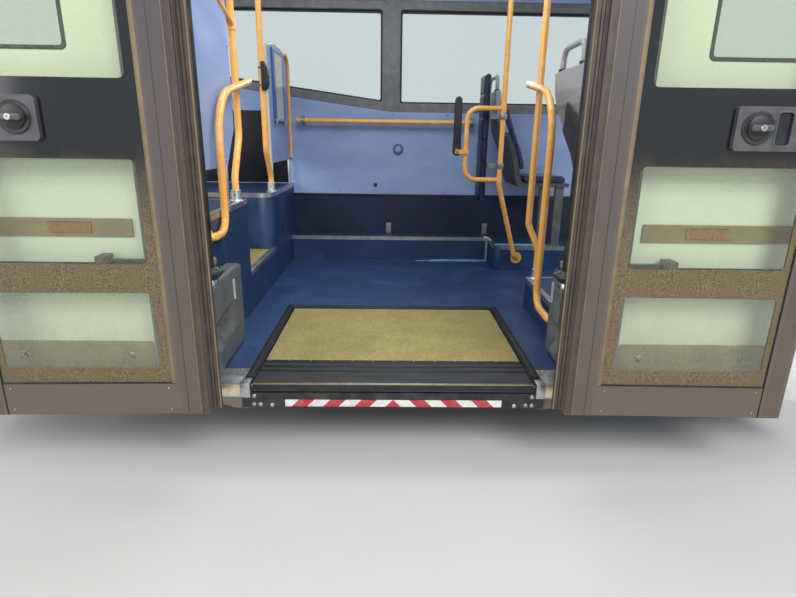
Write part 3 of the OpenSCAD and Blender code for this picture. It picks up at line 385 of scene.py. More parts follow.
EPDM = seal_rubber("epdm_rubber", "#141516", "#2a2b2c")
MUDDY_RUBBER = seal_rubber("muddy_epdm_rubber", "#41342d", "#574941")
PAINT = bus_paint()
BRONZE = bronze_profile()
BLACK_STEEL = black_coat()
SILVER = anodised("silver_anodised_trim", "#c3c6c8", "#8d8a84")
CAST = anodised("cast_aluminium_fitting", "#a4a6a8", "#77756f", 0.45)
ZINC = anodised("zinc_plated_steel", "#b9bcbe", "#7a7670", 0.3)
BRIGHT = anodised("satin_socket_aluminium", "#dfe0e0", "#b5b4b0", 0.45)
GREY_ABS = moulded("grey_cover_abs", "#5a5d61", "#6a6d6f")
PALE_ABS = moulded("pale_ring_abs", "#c9c7bf", "#d8d6ce", 0.4)
TAN_BEAD = moulded("tan_dusted_bead", "#77664f", "#8b775d", 0.65)
DARK_ABS = moulded("black_switch_abs", "#1f2023", "#343537", 0.45)
MID_ABS = moulded("grey_lock_abs", "#4b4a4e", "#5d5c60", 0.42)
RAIL_COAT = handrail_coat()
MOQUETTE = woven("navy_moquette", "#1b2b52", "#35508c")
NAVY_HIDE = imitation_leather()
BLUE_LAMINATE = wall_laminate("light_blue_laminate", "#9ab0da", "#8ca1cf")
OFF_WHITE = moulded("off_white_ceiling_panel", "#d3d3cd", "#c6c5bd", 0.5)
YELLOW = yellow_safety_floor()

SLOT_MATERIALS = {
    "chassis_paint": underbody_wax("underbody_wax", "#2e3134", "#57514a"),
    "floor_vinyl": vinyl("blue_floor_vinyl", "#1f3b66", "#2c4c7b", "#6f89ab"),
    "black_steel": BLACK_STEEL,
    "alu_trim": SILVER,
    "body_paint": PAINT,
    "blue_laminate": BLUE_LAMINATE,
    "dark_vinyl": vinyl("dark_blue_wall_vinyl", "#1b3459", "#294670", "#4c658c"),
    "frame_plastic": moulded("grey_window_frame_abs", "#6d7276", "#82878a"),
    "window_glass": safety_glass("clear_window_glass", "#eef3f2", 0.03, 0.1),
    "black_rubber": EPDM,
    "orange_lens": lamp_lens("amber_polycarbonate", "#8c5d42", "#a57857"),
    "ceiling_laminate": OFF_WHITE,
    "cover_plastic": GREY_ABS,
    "drive_metal": moulded("grey_machine_enamel", "#55585c", "#6b6d6e", 0.4),
    "yellow_tread": YELLOW,
    "black_tread": black_ramp_rubber(),
    "screen_pane": wall_laminate("light_blue_screen_laminate", "#93a6d2", "#8297c8"),
    "orange_paint": RAIL_COAT,
    "poster_blue": moulded("blue_poster_board", "#2f5aa0", "#3b66ab", 0.4),
    "cast_grey": CAST,
    "pad_leather": NAVY_HIDE,
    "switch_black": DARK_ABS,
    "seat_shell": two_tone_shell(),
    "seat_fabric": MOQUETTE,
    "leaf_alu": BRONZE,
    "leaf_glass": safety_glass("green_door_glass", "#f4f7ed", 0.03, 0.16, 0.95),
    "hatch_plastic": moulded("white_hatch_abs", "#d9dad8", "#c5c4be", 0.45),
    "plate_metal": anodised("mill_finish_plate", "#9a9da0", "#6f6c67", 0.42),
}

for part in frame["record"]["subparts"]:
    shown = NODES[part["node"]]
    shown.data.materials.clear()
    shown.data.materials.append(SLOT_MATERIALS[part["material_slot"]])
for name in ("leaf_rear_lock", "leaf_front_lock"):
    NODES[name].data.materials[0] = MID_ABS
NODES["rail_fittings"].data.materials[0] = BRIGHT
NODES["rub_rails"].data.materials[0] = underbody_wax("dusty_rub_rail", "#84725a", "#9a876b")
# The low lining gets a near-black blue vinyl, darker than the other dark vinyl: painted shade on the low wall
NODES["lining_low"].data.materials[0] = vinyl("shade_darkened_wall_vinyl", "#0f1a36", "#1a2a4c", "#33476c")
for name in ("leaf_rear_lip", "leaf_front_lip"):
    NODES[name].data.materials[0] = MUDDY_RUBBER

# Folded sheet and extrusions have small radii, which catch the light along every edge
EDGE_RADII = {"ramp_frame": 0.003, "sill_ends": 0.0015, "window_frames": 0.004, "rear_platforms": 0.006,
              "rear_steps": 0.004, "podiums": 0.006, "wall_duct": 0.004, "screens": 0.002,
              "roof_hatch": 0.006,
              "leaf_rear_lock": 0.0012, "leaf_front_lock": 0.0012, "seat_shells": 0.004, "rub_rails": 0.003,
              "folding_arm": 0.004, "pad_bracket": 0.001, "column_rear": 0.0015, "column_front": 0.0015,
              "door_drive": 0.003, "underframe": 0.003, "seat_legs": 0.003, "drive_flap": 0.0015}
for name, radius in EDGE_RADII.items():
    weld = NODES[name].modifiers.new("weld", "WELD")
    weld.merge_threshold = 0.00001
    edge = NODES[name].modifiers.new("edge", "BEVEL")
    edge.width = radius
    edge.segments = 2
    edge.limit_method = "ANGLE"
    edge.angle_limit = math.radians(50)
    edge.harden_normals = True


# Shapes: each returns a bmesh in its own place, and piece() sets it into the frame

def piece(name, shape, material, body="root", place=None, sharp=40):
    """An object at a place in the frame, riding on a body, of a bmesh or of a list for joined().

    Edges over sharp degrees stay sharp.
    """
    if isinstance(shape, list):
        shape = joined(shape)
    if place is not None:
        shape.transform(place)
        if place.determinant() < 0:
            bmesh.ops.reverse_faces(shape, faces=shape.faces)
    for face in shape.faces:
        face.smooth = True
    for edge in shape.edges:
        edge.smooth = len(edge.link_faces) == 2 and edge.calc_face_angle(0) < math.radians(sharp)
    mesh = bpy.data.meshes.new(name)
    shape.to_mesh(mesh)
    shape.free()
    mesh.materials.append(material)
    made = bpy.data.objects.new(name, mesh)
    bpy.context.collection.objects.link(made)
    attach(made, body)
    return made


def joined(shapes):
    """One bmesh of several, each given alone or with its place."""
    whole = bmesh.new()
    for shape in shapes:
        shape, place = shape if isinstance(shape, tuple) else (shape, Matrix())
        shape.transform(place)
        mesh = bpy.data.meshes.new("part")
        shape.to_mesh(mesh)
        shape.free()
        whole.from_mesh(mesh)
        bpy.data.meshes.remove(mesh)
    return whole


def facing(origin, normal, up=UP):
    """A place whose Z axis is normal and whose Y axis is up."""
    z, y = Vector(normal).normalized(), Vector(up)
    x = y.cross(z).normalized()
    y = z.cross(x)
    place = Matrix((x, y, z)).transposed().to_4x4()
    place.translation = origin
    return place


def rounded(corners, radius, steps=6):
    """A convex counter-clockwise outline with its corners rounded."""
    points = []
    count = len(corners)
    for i, corner in enumerate(corners):
        corner = Vector(corner)
        before = (Vector(corners[i - 1]) - corner).normalized()
        after = (Vector(corners[(i + 1) % count]) - corner).normalized()
        half = before.angle(after) / 2
        middle = corner + (before + after).normalized() * radius / math.sin(half)
        first = corner + before * radius / math.tan(half) - middle
        turn = (math.pi - 2 * half) / steps
        points += [middle + Matrix.Rotation(turn * k, 2) @ first for k in range(steps + 1)]
    return points


def rectangle(x0, y0, x1, y1, radius=0.0):
    """An outline between two corners, rounded where a radius is given."""
    corners = [(x0, y0), (x1, y0), (x1, y1), (x0, y1)]
    return rounded(corners, radius) if radius else corners


def from_curve(curve):
    """The mesh of a curve, as a bmesh."""
    holder = bpy.data.objects.new("shape", curve)
    bpy.context.collection.objects.link(holder)
    mesh = bpy.data.meshes.new_from_object(holder.evaluated_get(bpy.context.evaluated_depsgraph_get()))
    shape = bmesh.new()
    shape.from_mesh(mesh)
    bmesh.ops.remove_doubles(shape, verts=shape.verts, dist=0.00001)
    bpy.data.objects.remove(holder)
    bpy.data.curves.remove(curve)
    bpy.data.meshes.remove(mesh)
    return shape


def plate(outline, depth, holes=(), edge=0.0, steps=2):
    """A flat outline with holes, from Z = 0 to depth, with its edges rounded to the radius edge."""
    curve = bpy.data.curves.new("plate", "CURVE")
    curve.dimensions = "2D"
    curve.fill_mode = "BOTH"
    curve.extrude = depth / 2 - edge
    curve.bevel_depth = edge
    curve.bevel_resolution = steps
    curve.offset = -edge
    for points in (outline, *holes):
        spline = curve.splines.new("POLY")
        spline.points.add(len(points) - 1)
        for point, (x, y) in zip(spline.points, points):
            point.co = (x, y, 0, 1)
        spline.use_cyclic_u = True
    shape = from_curve(curve)
    shape.transform(Matrix.Translation((0, 0, depth / 2)))
    return shape


def tube(points, radius, closed=False, steps=3):
    """A round cord or tube along points."""
    curve = bpy.data.curves.new("tube", "CURVE")
    curve.dimensions = "3D"
    curve.bevel_depth = radius
    curve.bevel_resolution = steps
    curve.use_fill_caps = not closed
    spline = curve.splines.new("POLY")
    spline.points.add(len(points) - 1)
    for point, place in zip(spline.points, points):
        point.co = (*place, 1)
    spline.use_cyclic_u = closed
    return from_curve(curve)


def turned(profile, steps=24):
    """A profile of (radius, height) points, turned about Z."""
    shape = bmesh.new()
    verts = [shape.verts.new((r, 0, z)) for r, z in profile]
    edges = [shape.edges.new(pair) for pair in zip(verts, verts[1:])]
    bmesh.ops.spin(shape, geom=verts + edges, cent=(0, 0, 0), axis=UP, angle=math.tau, steps=steps)
    bmesh.ops.remove_doubles(shape, verts=shape.verts, dist=0.00001)
    bmesh.ops.recalc_face_normals(shape, faces=shape.faces)
    return shape


def spun(profile, places, steps=24):
    """One turned form at several places, as one bmesh."""
    return joined([(turned(profile, steps), place) for place in places])


def bar(low, high, edge=0.001, steps=2):
    """A box between two corners with rounded edges."""
    shape = bmesh.new()
    low, high = Vector(low), Vector(high)
    size = high - low
    bmesh.ops.create_cube(shape, size=1, matrix=Matrix.Translation((low + high) / 2)
                          @ Matrix.Diagonal((*size, 1)))
    bmesh.ops.bevel(shape, geom=shape.edges[:], offset=edge, segments=steps, affect="EDGES", profile=0.5)
    return shape


def screw(radius=0.006):
    """A domed screw head with a cross-shaped sink, standing on Z = 0."""
    return turned([(0, radius * 0.35), (radius * 0.3, radius * 0.35), (radius * 0.38, radius * 0.6),
                   (radius * 0.8, radius * 0.45), (radius, 0.0004), (radius, 0)], 12)


def screws(name, places, normal, material=ZINC, radius=0.006, body="root"):
    """Screw heads at places on a face."""
    up = INTO if abs(normal[2]) > 0.5 else UP
    return piece(name, [(screw(radius), facing(p, normal, up)) for p in places], material, body)


# Door leaves: print on the glass, beads, joints, lock and rollers, in the leaf's own place

def leaf_places():
    """For each side, the place of a leaf's own frame: X from its meeting edge, Y inwards, Z up."""
    pivot = JOINT_PLACES["leaf_front_turn"]
    front = (Matrix.Translation((pivot.x, pivot.y, 0)) @ Matrix.Rotation(-LEAF_TOE, 4, "Z")
             @ Matrix.Translation((DOOR_X + LEAF_EDGE - pivot.x, SKIN_Y - LEAF_OUT - pivot.y, 0)))
    mirror = Matrix.Translation((2 * DOOR_X, 0, 0)) @ Matrix.Diagonal((-1, 1, 1, 1))
    return {"front": front, "rear": mirror @ front}


GLASS_IN = LEAF_W - OUTER_STILE_W
CLEAR_WINDOWS = [(0.33, 0.616), (0.72, 1.071), (1.318, 2.0)]
CLEAR_LEFT, CLEAR_RIGHT, CLEAR_R = 0.163, 0.715, 0.022
LOCK_U, LOCK_Z, LOCK_H = 0.442, 1.125, 0.139
KNOB_U, KNOB_Z = LOCK_U + 0.07, LOCK_Z + 0.072
LOCK_FACE = -0.012


def lock_pieces():
    """The lock's black dial, grey grip, bright key barrel, and a blue-black floor in its recess that is
    painted shade.
    """
    dial = turned([(0.0515, -0.001), (0.0515, 0.004), (0.049, 0.0064), (0.04, 0.0058), (0.0372, 0.006),
                   (0.0372, 0.0104), (0.035, 0.0114), (0.0, 0.0114)], 40)
    grip = plate(rectangle(-0.037, -0.01, 0.037, 0.01, 0.0095), 0.021, edge=0.004, steps=3)
    barrel = turned([(0.0105, 0), (0.0105, 0.0035), (0.009, 0.005), (0.003, 0.005), (0.0026, 0.002),
                     (0, 0.002)], 20)
    # The recess's floor, near-black: painted shade
    shade_floor = plate(rectangle(LOCK_U + 0.132, LOCK_Z + 0.019, LOCK_U + 0.179, LOCK_Z + LOCK_H
                            - 0.019, 0.01), 0.001)
    rim = plate(rectangle(LOCK_U + 0.126, LOCK_Z + 0.012, LOCK_U + 0.185, LOCK_Z + LOCK_H
                          - 0.012, 0.016), 0.0025,
                [rectangle(LOCK_U + 0.132, LOCK_Z + 0.019, LOCK_U + 0.179, LOCK_Z + LOCK_H - 0.019,
                           0.01)], edge=0.001)
    return [("dial", dial, DARK_ABS, facing((KNOB_U, LOCK_FACE, KNOB_Z), OUT)),
            ("grip", grip, MID_ABS, facing((KNOB_U, LOCK_FACE - 0.0105, KNOB_Z), OUT)),
            ("key_barrel", barrel, ZINC, facing((KNOB_U, LOCK_FACE - 0.0305, KNOB_Z), OUT)),
            ("recess_shade_floor", shade_floor, RECESS_SHADE_ABS, facing((0, -0.0042, 0), OUT)),
            ("recess_rim", rim, MID_ABS, facing((0, LOCK_FACE + 0.0005, 0), OUT))]


def leaf_pieces():
    """Every trim piece of one leaf: name, shape, material and place in the leaf."""
    stile, end, sill, head = STILE_W, GLASS_IN, GLASS_LOW, GLASS_TOP
    windows = [rectangle(CLEAR_LEFT, low, CLEAR_RIGHT, high, CLEAR_R) for low, high in CLEAR_WINDOWS]
    border = rectangle(stile, sill, end, head)
    pieces = [
        ("ceramic_print", plate(border, 0.0004, windows), LEAF_PRINT, facing((0, 0.0058, 0), OUT)),
        ("stile_bead", joined([bar((stile, 0.0008, sill), (stile + 0.013, 0.0058, head), 0.0012),
                               bar((stile + 0.0145, 0.0022, sill), (stile + 0.0175, 0.0058, head),
                                   0.0008)]), TAN_BEAD, Matrix()),
        ("bead_lip", bar((stile + 0.0125, 0.003, sill), (stile + 0.015, 0.0058, head), 0.0006),
         TAN_BEAD, Matrix()),
        ("stile_joint", bar((0.0742, 0.0004, 0.148), (0.0764, 0.0032, 2.147), 0.0006), EPDM, Matrix()),
        ("edge_ribs", joined([bar((0.0012 + 0.0052 * k, -0.0007, 0.149),
                                  (0.004 + 0.0052 * k, 0.001, 2.146), 0.0004)
                              for k in range(5)]), MUDDY_RUBBER, Matrix()),
        ("edge_line", bar((0.0268, -0.0009, 0.149), (0.0296, 0.001, 2.146), 0.0005), TAN_BEAD, Matrix()),
        ("outer_joint", bar((end - 0.004, 0.0006, 0.147), (end + 0.001, 0.0055, 2.148), 0.0008), EPDM,
         Matrix()),
        ("glass_gaskets", joined([bar((stile, 0.0012, z - 0.004), (end, 0.0058, z + 0.002), 0.001)
                                  for z in (sill + 0.002, head)]), EPDM, Matrix()),
        ("inner_gasket", plate(rectangle(stile, sill, end, head), 0.012,
                               [rectangle(stile + 0.016, sill + 0.016, end - 0.016, head - 0.016,
                                          0.02)], edge=0.003), EPDM, facing((0, 0.026, 0), OUT)),
        ("lip_retainer", bar((-0.0045, 0.0105, 0.15), (0.0005, 0.0155, 2.145), 0.0012), BRONZE, Matrix()),
        ("lip_bead", tube([(-0.0405, 0.0135, 0.165), (-0.0405, 0.0135, 2.135)], 0.0028), TAN_BEAD, Matrix()),
        ("rail_screws", joined([(screw(0.005), facing((u, 0.002, z), OUT))
                                for u in (0.14, 0.712) for z in (0.165, 0.25)]), ZINC, Matrix()),
        ("back_screws", joined([(screw(0.006), facing((u, LEAF_T, z), INTO))
                                for u in (0.03, 0.77) for z in (0.2, 0.6, 1.0, 1.4, 1.8, 2.1)]), ZINC,
         Matrix()),
        ("bottom_brush", bar((0.006, 0.012, 0.1385), (LEAF_W - 0.006, 0.028, 0.1455), 0.001), EPDM, Matrix()),
    ]
    return pieces + lock_pieces()


LEAF_PRINT = dusty_print()
# Near-black blue for the lock recess's floor: painted shade
RECESS_SHADE_ABS = moulded("recess_shade_abs", "#141b28", "#202a3b", 0.4)
for side, leaf_place in leaf_places().items():
    for name, shape, material, place in leaf_pieces():
        piece(f"leaf_{side}_{name}", shape, material, f"leaf_{side}", leaf_place @ place)


# Body side behind the leaves: skirt flap, panel seams, rivets and gutters

def mirrored(x):
    """The same distance from the doorway's middle on the other side."""
    return 2 * DOOR_X - x


def side_skin():
    """Trim of both outer sides: skirt flaps behind the leaves, seams, rivets and gutters."""
    flaps, seams, heads = [], [], []
    for side in (1, -1):
        ends = sorted(x if side > 0 else mirrored(x) for x in (0.862, 1.46))
        flap = plate(rectangle(ends[0], 0.29, ends[1], 0.404, 0.012), 0.004, edge=0.0015)
        flaps.append((flap, facing((0, SKIN_Y, 0), OUT)))
    # The flaps are a brown-grey band behind the lower door windows
    piece("skirt_flaps", flaps, underbody_wax("brown_skirt_flap", "#85755b", "#9d8b6c"))
    locks = [facing((x if side > 0 else mirrored(x), SKIN_Y - 0.004, 0.347), OUT)
             for side in (1, -1) for x in (0.945, 1.345)]
    piece("skirt_flap_locks", spun([(0.013, 0), (0.013, 0.002), (0.011, 0.003), (0.004, 0.003),
                                    (0.0035, 0.001),
                                    (0, 0.001)], locks, 20), ZINC)
    for y, normal in ((SKIN_Y, OUT), (-SKIN_Y, INTO)):
        spans = ([(-HALF_L, DOOR_X - 0.905), (DOOR_X + 0.905, HALF_L)] if y < 0 else [(-HALF_L, HALF_L)])
        inner, outer = sorted((y - normal[1] * 0.001, y + normal[1] * 0.0016))
        for x0, x1 in spans:
            for z in (0.7, 1.285, 2.235):
                seams.append(bar((x0 + 0.001, inner, z), (x1 - 0.001, outer, z + 0.007), 0.0006))
            steps = round((x1 - x0) / 0.085)
            heads += [(turned([(0, 0.0018), (0.003, 0.0013), (0.0042, 0)], 8),
                       facing((x0 + (x1 - x0) * (k + 0.5) / steps, y, z), normal))
                      for z in (0.683, 1.268, 2.218) for k in range(steps)]
    for x in (-0.6, 0.6):
        seams.append(bar((x, -SKIN_Y - 0.001, BODY_LOW + 0.01), (x + 0.007, -SKIN_Y + 0.0016, 0.7), 0.0006))
    piece("panel_seams", seams, EPDM)
    piece("panel_rivets", heads, PAINT)
    gutters = [tube([(-HALF_L + 0.002, y, BODY_TOP + 0.004), (HALF_L - 0.002, y, BODY_TOP + 0.004)], 0.007)
               for y in (SKIN_Y - 0.003, -SKIN_Y + 0.003)]
    piece("roof_gutters", gutters, SILVER)


side_skin()


# Roof: seams, and the hatch's ribs and seal

def roof_height(y, rise=0.0):
    """Height of the cambered roof at y, up to where its edges round off."""
    return ROOF_TOP - ROOF_R + math.sqrt(ROOF_R ** 2 - y * y) + rise


def roof_trim():
    """Paired seams over the roof, ribs on the hatch and the seal under its lid."""
    camber = [k * 0.1 for k in range(-10, 11)]
    seams = []
    for x in (-1.2, -0.6, 0.0, 0.6):
        for offset in (-0.012, 0.012):
            seams.append(tube([(x + offset, y, roof_height(y, -0.0005)) for y in camber], 0.0022, steps=2))
    piece("roof_seams", seams, PAINT)
    low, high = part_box("roof_hatch")
    ribs = [bar((low.x + 0.05, y - 0.012, high.z - 0.001 - 0.012), (high.x - 0.09, y + 0.012,
                                                                    high.z - 0.007), 0.004)
            for y in (-0.2, -0.1, 0.0, 0.1, 0.2)]
    piece("hatch_ribs", ribs, SLOT_MATERIALS["hatch_plastic"], "hatch")
    rim = [(low.x + 0.016, low.y + 0.016), (high.x - 0.044, low.y + 0.016), (high.x - 0.044, high.y - 0.016),
           (low.x + 0.016, high.y - 0.016)]
    piece("hatch_seal", tube([(p.x, p.y, 2.6695) for p in rounded(rim, 0.02)], 0.0045, True), EPDM)


# Ramp: ribs, nosing, screws, the sill's face with its bolts and tape

RAMP_TOP = 0.203
RAMP_FACE = -1.222
SILL_Y = -1.225
RAMP_HALF = 0.566


def ramp_trim():
    """Ribs, nosing and screws of the ramp, and bolts and tape on the sill's face."""
    half, top, face = RAMP_HALF, RAMP_TOP, RAMP_FACE
    ribs = [bar((-half + 0.002, y, top - 0.001), (half - 0.002, y + 0.016, top + 0.0022), 0.001)
            for y in (-1.012, -1.058, -1.104)]
    piece("ramp_ribs", ribs, EPDM, "ramp")
    piece("ramp_nosing", bar((-half, face - 0.0005, top - 0.003), (half, face + 0.012,
                                                                             top + 0.0012), 0.001),
          anodised("gold_worn_nosing", "#b3a98c", "#857c66"), "ramp")
    piece("ramp_joint_strip", bar((-half + 0.003, -0.9885, top - 0.002), (half - 0.003, -0.9835,
                                                                                top + 0.0008), 0.0006),
          DARK_ABS, "ramp")
    screws("ramp_screws", [(-0.546 + 0.091 * k, -0.993, top - 0.0005) for k in range(13)], UP, BRIGHT, 0.0036,
           "ramp")
    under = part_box("ramp_plate")[0].z
    piece("ramp_front_strip", bar((-half + 0.001, face - 0.0008, under + 0.001),
                                  (half - 0.001, face + 0.001, top - 0.0035), 0.0004), EPDM,
          "ramp")
    piece("ramp_underside_ribs", [bar((x - 0.02, face + 0.03, under - 0.004), (x + 0.02, face + 0.95,
                                                                                      under + 0.001), 0.0015)
                                         for x in (-0.4, -0.2, 0.0, 0.2, 0.4)], SLOT_MATERIALS["plate_metal"],
          "ramp")
    bolts = [(side * x, SILL_Y, z) for side in (-1, 1)
             for x, z in ((0.561, 0.151), (0.563, 0.1135), (0.537, 0.1136), (0.49, 0.111))]
    piece("sill_face_bolts", spun([(0, 0.004), (0.006, 0.004), (0.0085, 0.002), (0.0085, 0)],
                                  [facing(p, OUT) for p in bolts], 12), ZINC)
    piece("reflective_tape", plate(rectangle(-0.438, TAPE_LOW, 0.438, 0.1355), 0.0006), chevron_tape(),
          place=facing((0, SILL_Y - 0.0002, 0), OUT))
    piece("ramp_frame_ribs",
          [bar((side * 0.591 - 0.0135, -1.165, 0.203), (side * 0.591 + 0.0135, -0.2, 0.211),
                                         0.0038, 3) for side in (-1, 1)], EPDM)


def sill_trim():
    """Ridges, screws, corner caps of the ramp's frame, end faces and slanted brackets of the sill."""
    brackets, faces, ridges, heads, caps, cap_heads = [], [], [], [], [], []
    for side in (-1, 1):
        end = DOOR_X + 0.77 if side > 0 else -0.79
        a, b = sorted((side * 0.612, end))
        tip = side * 0.588
        far = end - side * 0.004
        outline = [(tip, 0.092), (tip, 0.146), (far, 0.146), (far, 0.136), (tip + side * 0.05, 0.094)]
        if side < 0:
            outline = outline[::-1]
        brackets.append((plate(outline, 0.003, edge=0.0008), facing((0, SILL_Y + 0.01, 0), OUT)))
        ridges += [bar((a + 0.004, SILL_Y + d, 0.2036), (b - 0.004, SILL_Y + d + 0.004, 0.205), 0.0006)
                   for d in (0.012, 0.024, 0.036, 0.048, 0.06, 0.072)]
        heads += [(side * x, SILL_Y + y, 0.2038) for x in (0.64, 0.745) for y in (0.092, 0.138)]
        a, b = sorted((side * 0.577, side * 0.6125))
        caps += [bar((a, -1.2268, 0.203), (b, -1.173, 0.2055), 0.0008),
                 bar((a, -1.2268, 0.144), (b, -1.224, 0.205), 0.0008)]
        cap_heads.append((side * 0.601, -1.2, 0.2053))
        a, b = sorted((side * 0.616, end - side * 0.003))
        faces.append(bar((a, SILL_Y - 0.001, 0.152), (b, SILL_Y + 0.001, 0.199), 0.0005))
    piece("sill_end_faces", faces, anodised("warm_polished_sill_face", "#efe0c2", "#b9a582", 0.36))
    piece("sill_brackets", brackets, underbody_wax("dusty_bracket_primer", "#6d665d", "#80776b"))
    piece("sill_corner_caps", caps, SILVER)
    screws("sill_cap_screws", cap_heads, UP, ZINC, 0.004)
    piece("sill_ridges", ridges, SILVER)
    screws("sill_screws", heads, UP)


roof_trim()
ramp_trim()
sill_trim()


# Moulded covers at the feet of the door columns

COVER_LOW, COVER_TOP = 0.2045, 0.59
# Plan of each cover in X and Y, its long face's X, its doorway side and the places of slot and holes along Y
COVERS = {"rear": ([(-0.785, -1.19), (-0.694, -1.19), (-0.694, -1.112), (-0.712, -1.06), (-0.712, -0.752),
                    (-0.785, -0.752)], -0.712, 1, -0.878, (-1.034, -0.977)),
          "front": ([(0.648, -1.19), (0.738, -1.19), (0.738, -1.076), (0.77, -1.076), (0.77, -0.858),
                     (0.712, -0.858), (0.712, -1.02), (0.648, -1.112)], 0.712, -1, -0.885, (-1.007, -0.948))}
DISH_LOW, DISH_TOP, DISH_END, DISH_DEPTH = 0.334, 0.436, -0.893, 0.018


def held(value, low, high):
    """The share of a value between low and high, held at 0 and 1."""
    return max(0.0, min(1.0, (value - low) / (high - low)))


def cover_shell(plan, face_x, inward):
    """One moulded shell: its plan drawn upwards, tapered at the foot, with a dish that pinches its corner."""
    shape = plate(plan, COVER_TOP - COVER_LOW, edge=0.018, steps=5)
    shape.transform(Matrix.Translation((0, 0, COVER_LOW)))
    cuts = [((0, 0, z), UP) for z in [0.25, 0.28] + [0.3 + 0.007 * k for k in range(24)]]
    cuts += [((0, y, 0), INTO) for y in [-1.18 + 0.012 * k for k in range(26)]]
    for point, normal in cuts:
        bmesh.ops.bisect_plane(shape, geom=shape.verts[:] + shape.edges[:] + shape.faces[:], plane_co=point,
                               plane_no=normal)
    for vert in shape.verts:
        beyond = inward * (vert.co.x - face_x)
        foot = held(vert.co.z, 0.31, COVER_LOW)
        if beyond > 0:
            vert.co.x -= inward * beyond * foot
        if beyond > -0.02:
            across = held(vert.co.z, DISH_LOW - 0.012, DISH_LOW + 0.02) * held(vert.co.z, DISH_TOP + 0.014,
                                                                               DISH_TOP - 0.02)
            vert.co.x -= inward * DISH_DEPTH * across * held(vert.co.y, DISH_END + 0.004, DISH_END - 0.014)
    return shape


def moulded_covers():
    """Grey shells beside the doorway, each with a pale slot, two near-black discs painted as the shade in
    holes, and a bearing ring.
    """
    shells, slots, pins, holes, rings, wells = [], [], [], [], [], []
    for plan, face_x, inward, slot_y, hole_places in COVERS.values():
        shells.append(cover_shell(plan, face_x, inward))
        slot_at = facing((face_x, slot_y, 0.497), (inward, 0, 0))
        slots.append((plate(rectangle(-0.0105, -0.048, 0.0105, 0.048, 0.01), 0.0034,
                            [rectangle(-0.0055, -0.043, 0.0055, 0.043, 0.005)], edge=0.001), slot_at))
        pins.append((plate(rectangle(-0.005, -0.022, 0.005, 0.022, 0.003), 0.0026, edge=0.0006), slot_at))
        wells.append((plate(rectangle(-0.006, -0.0435, 0.006, 0.0435, 0.0055), 0.0012), slot_at))
        # Each hole is a flat near-black disc: painted shade in place of the hole's depth
        for y, z in zip(hole_places, (0.384, 0.389)):
            holes.append((turned([(0.0065, 0.0002), (0.0058, 0.001), (0.0035, 0.0003), (0, 0.0003)], 16),
                          facing((face_x - inward * DISH_DEPTH, y, z), (inward, 0, 0))))
        rings.append((turned([(0.0232, 0.0205), (0.03, 0.02), (0.0325, 0.0165), (0.0325, -0.003),
                              (0.0232, -0.003)],
                             40), Matrix.Translation((DOOR_X - inward * COLUMN_OUT, COLUMN_Y, COVER_TOP))))
    covers = piece("moulded_covers", shells, GREY_ABS)
    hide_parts("mech_covers")
    piece("cover_slots", slots, PALE_ABS)
    piece("cover_slot_pins", pins, BRIGHT)
    piece("cover_slot_wells", wells, GREY_ABS)
    piece("cover_holes", holes, DARK_ABS)
    piece("cover_bearing_rings", rings, ZINC)


def column_feet():
    """On each turning column: a black flared hub, its clamp bolts and a brown buffer."""
    hub = [(0.0222, 0.0235), (0.034, 0.0235), (0.052, 0.04), (0.056, 0.047), (0.054, 0.056), (0.04, 0.064),
           (0.0222, 0.07)]
    rubber = moulded("brown_rubber_buffer", "#7d7068", "#8d8077", 0.7)
    for side, inward in (("rear", 1), ("front", -1)):
        foot = Vector((DOOR_X - inward * COLUMN_OUT, COLUMN_Y, COVER_TOP))
        bolts = [(turned([(0.0045, 0), (0.0045, 0.006), (0.003, 0.0075), (0, 0.0075)], 6),
                  Matrix.Translation(foot + Vector((0.044 * math.cos(a), 0.044 * math.sin(a), 0.06))))
                 for a in (0.35, 1.4, 2.5, 3.6, 4.7, 5.8)]
        piece(f"column_hub_{side}", turned(hub, 40), DARK_ABS, f"column_{side}", Matrix.Translation(foot))
        piece(f"column_hub_bolts_{side}", bolts, ZINC, f"column_{side}")
        low = foot + Vector((inward * 0.004 - 0.018, 0.006, 0.0715))
        piece(f"column_buffer_{side}", bar(low, low + Vector((0.036, 0.036, 0.03)), 0.006, 3), rubber,
              f"column_{side}")


column_feet()
moulded_covers()


# Windows: rubber beads around the panes, inside and outside

def inset(corners, distance):
    """A convex counter-clockwise outline moved inwards."""
    moved = []
    for i, corner in enumerate(corners):
        corner = Vector(corner)
        before = (Vector(corners[i - 1]) - corner).normalized()
        after = (Vector(corners[(i + 1) % len(corners)]) - corner).normalized()
        moved.append(corner + (before + after).normalized() * distance / math.sin(before.angle(after) / 2))
    return moved


WAIST, WINDOW_TOP, WINDOW_END, WINDOW_R = 1.345, 2.12, 1.7, 0.05
FAR_WINDOWS = [[(-WINDOW_END, WAIST + 0.22), (-0.022, WAIST), (-0.022, WINDOW_TOP),
                (-WINDOW_END, WINDOW_TOP)],
               rectangle(-0.01, WAIST, WINDOW_END, WINDOW_TOP)]
NEAR_WINDOWS = [rectangle(-WINDOW_END, WAIST, DOOR_X - 0.983, WINDOW_TOP),
                rectangle(DOOR_X + 0.983, WAIST, WINDOW_END, WINDOW_TOP)]


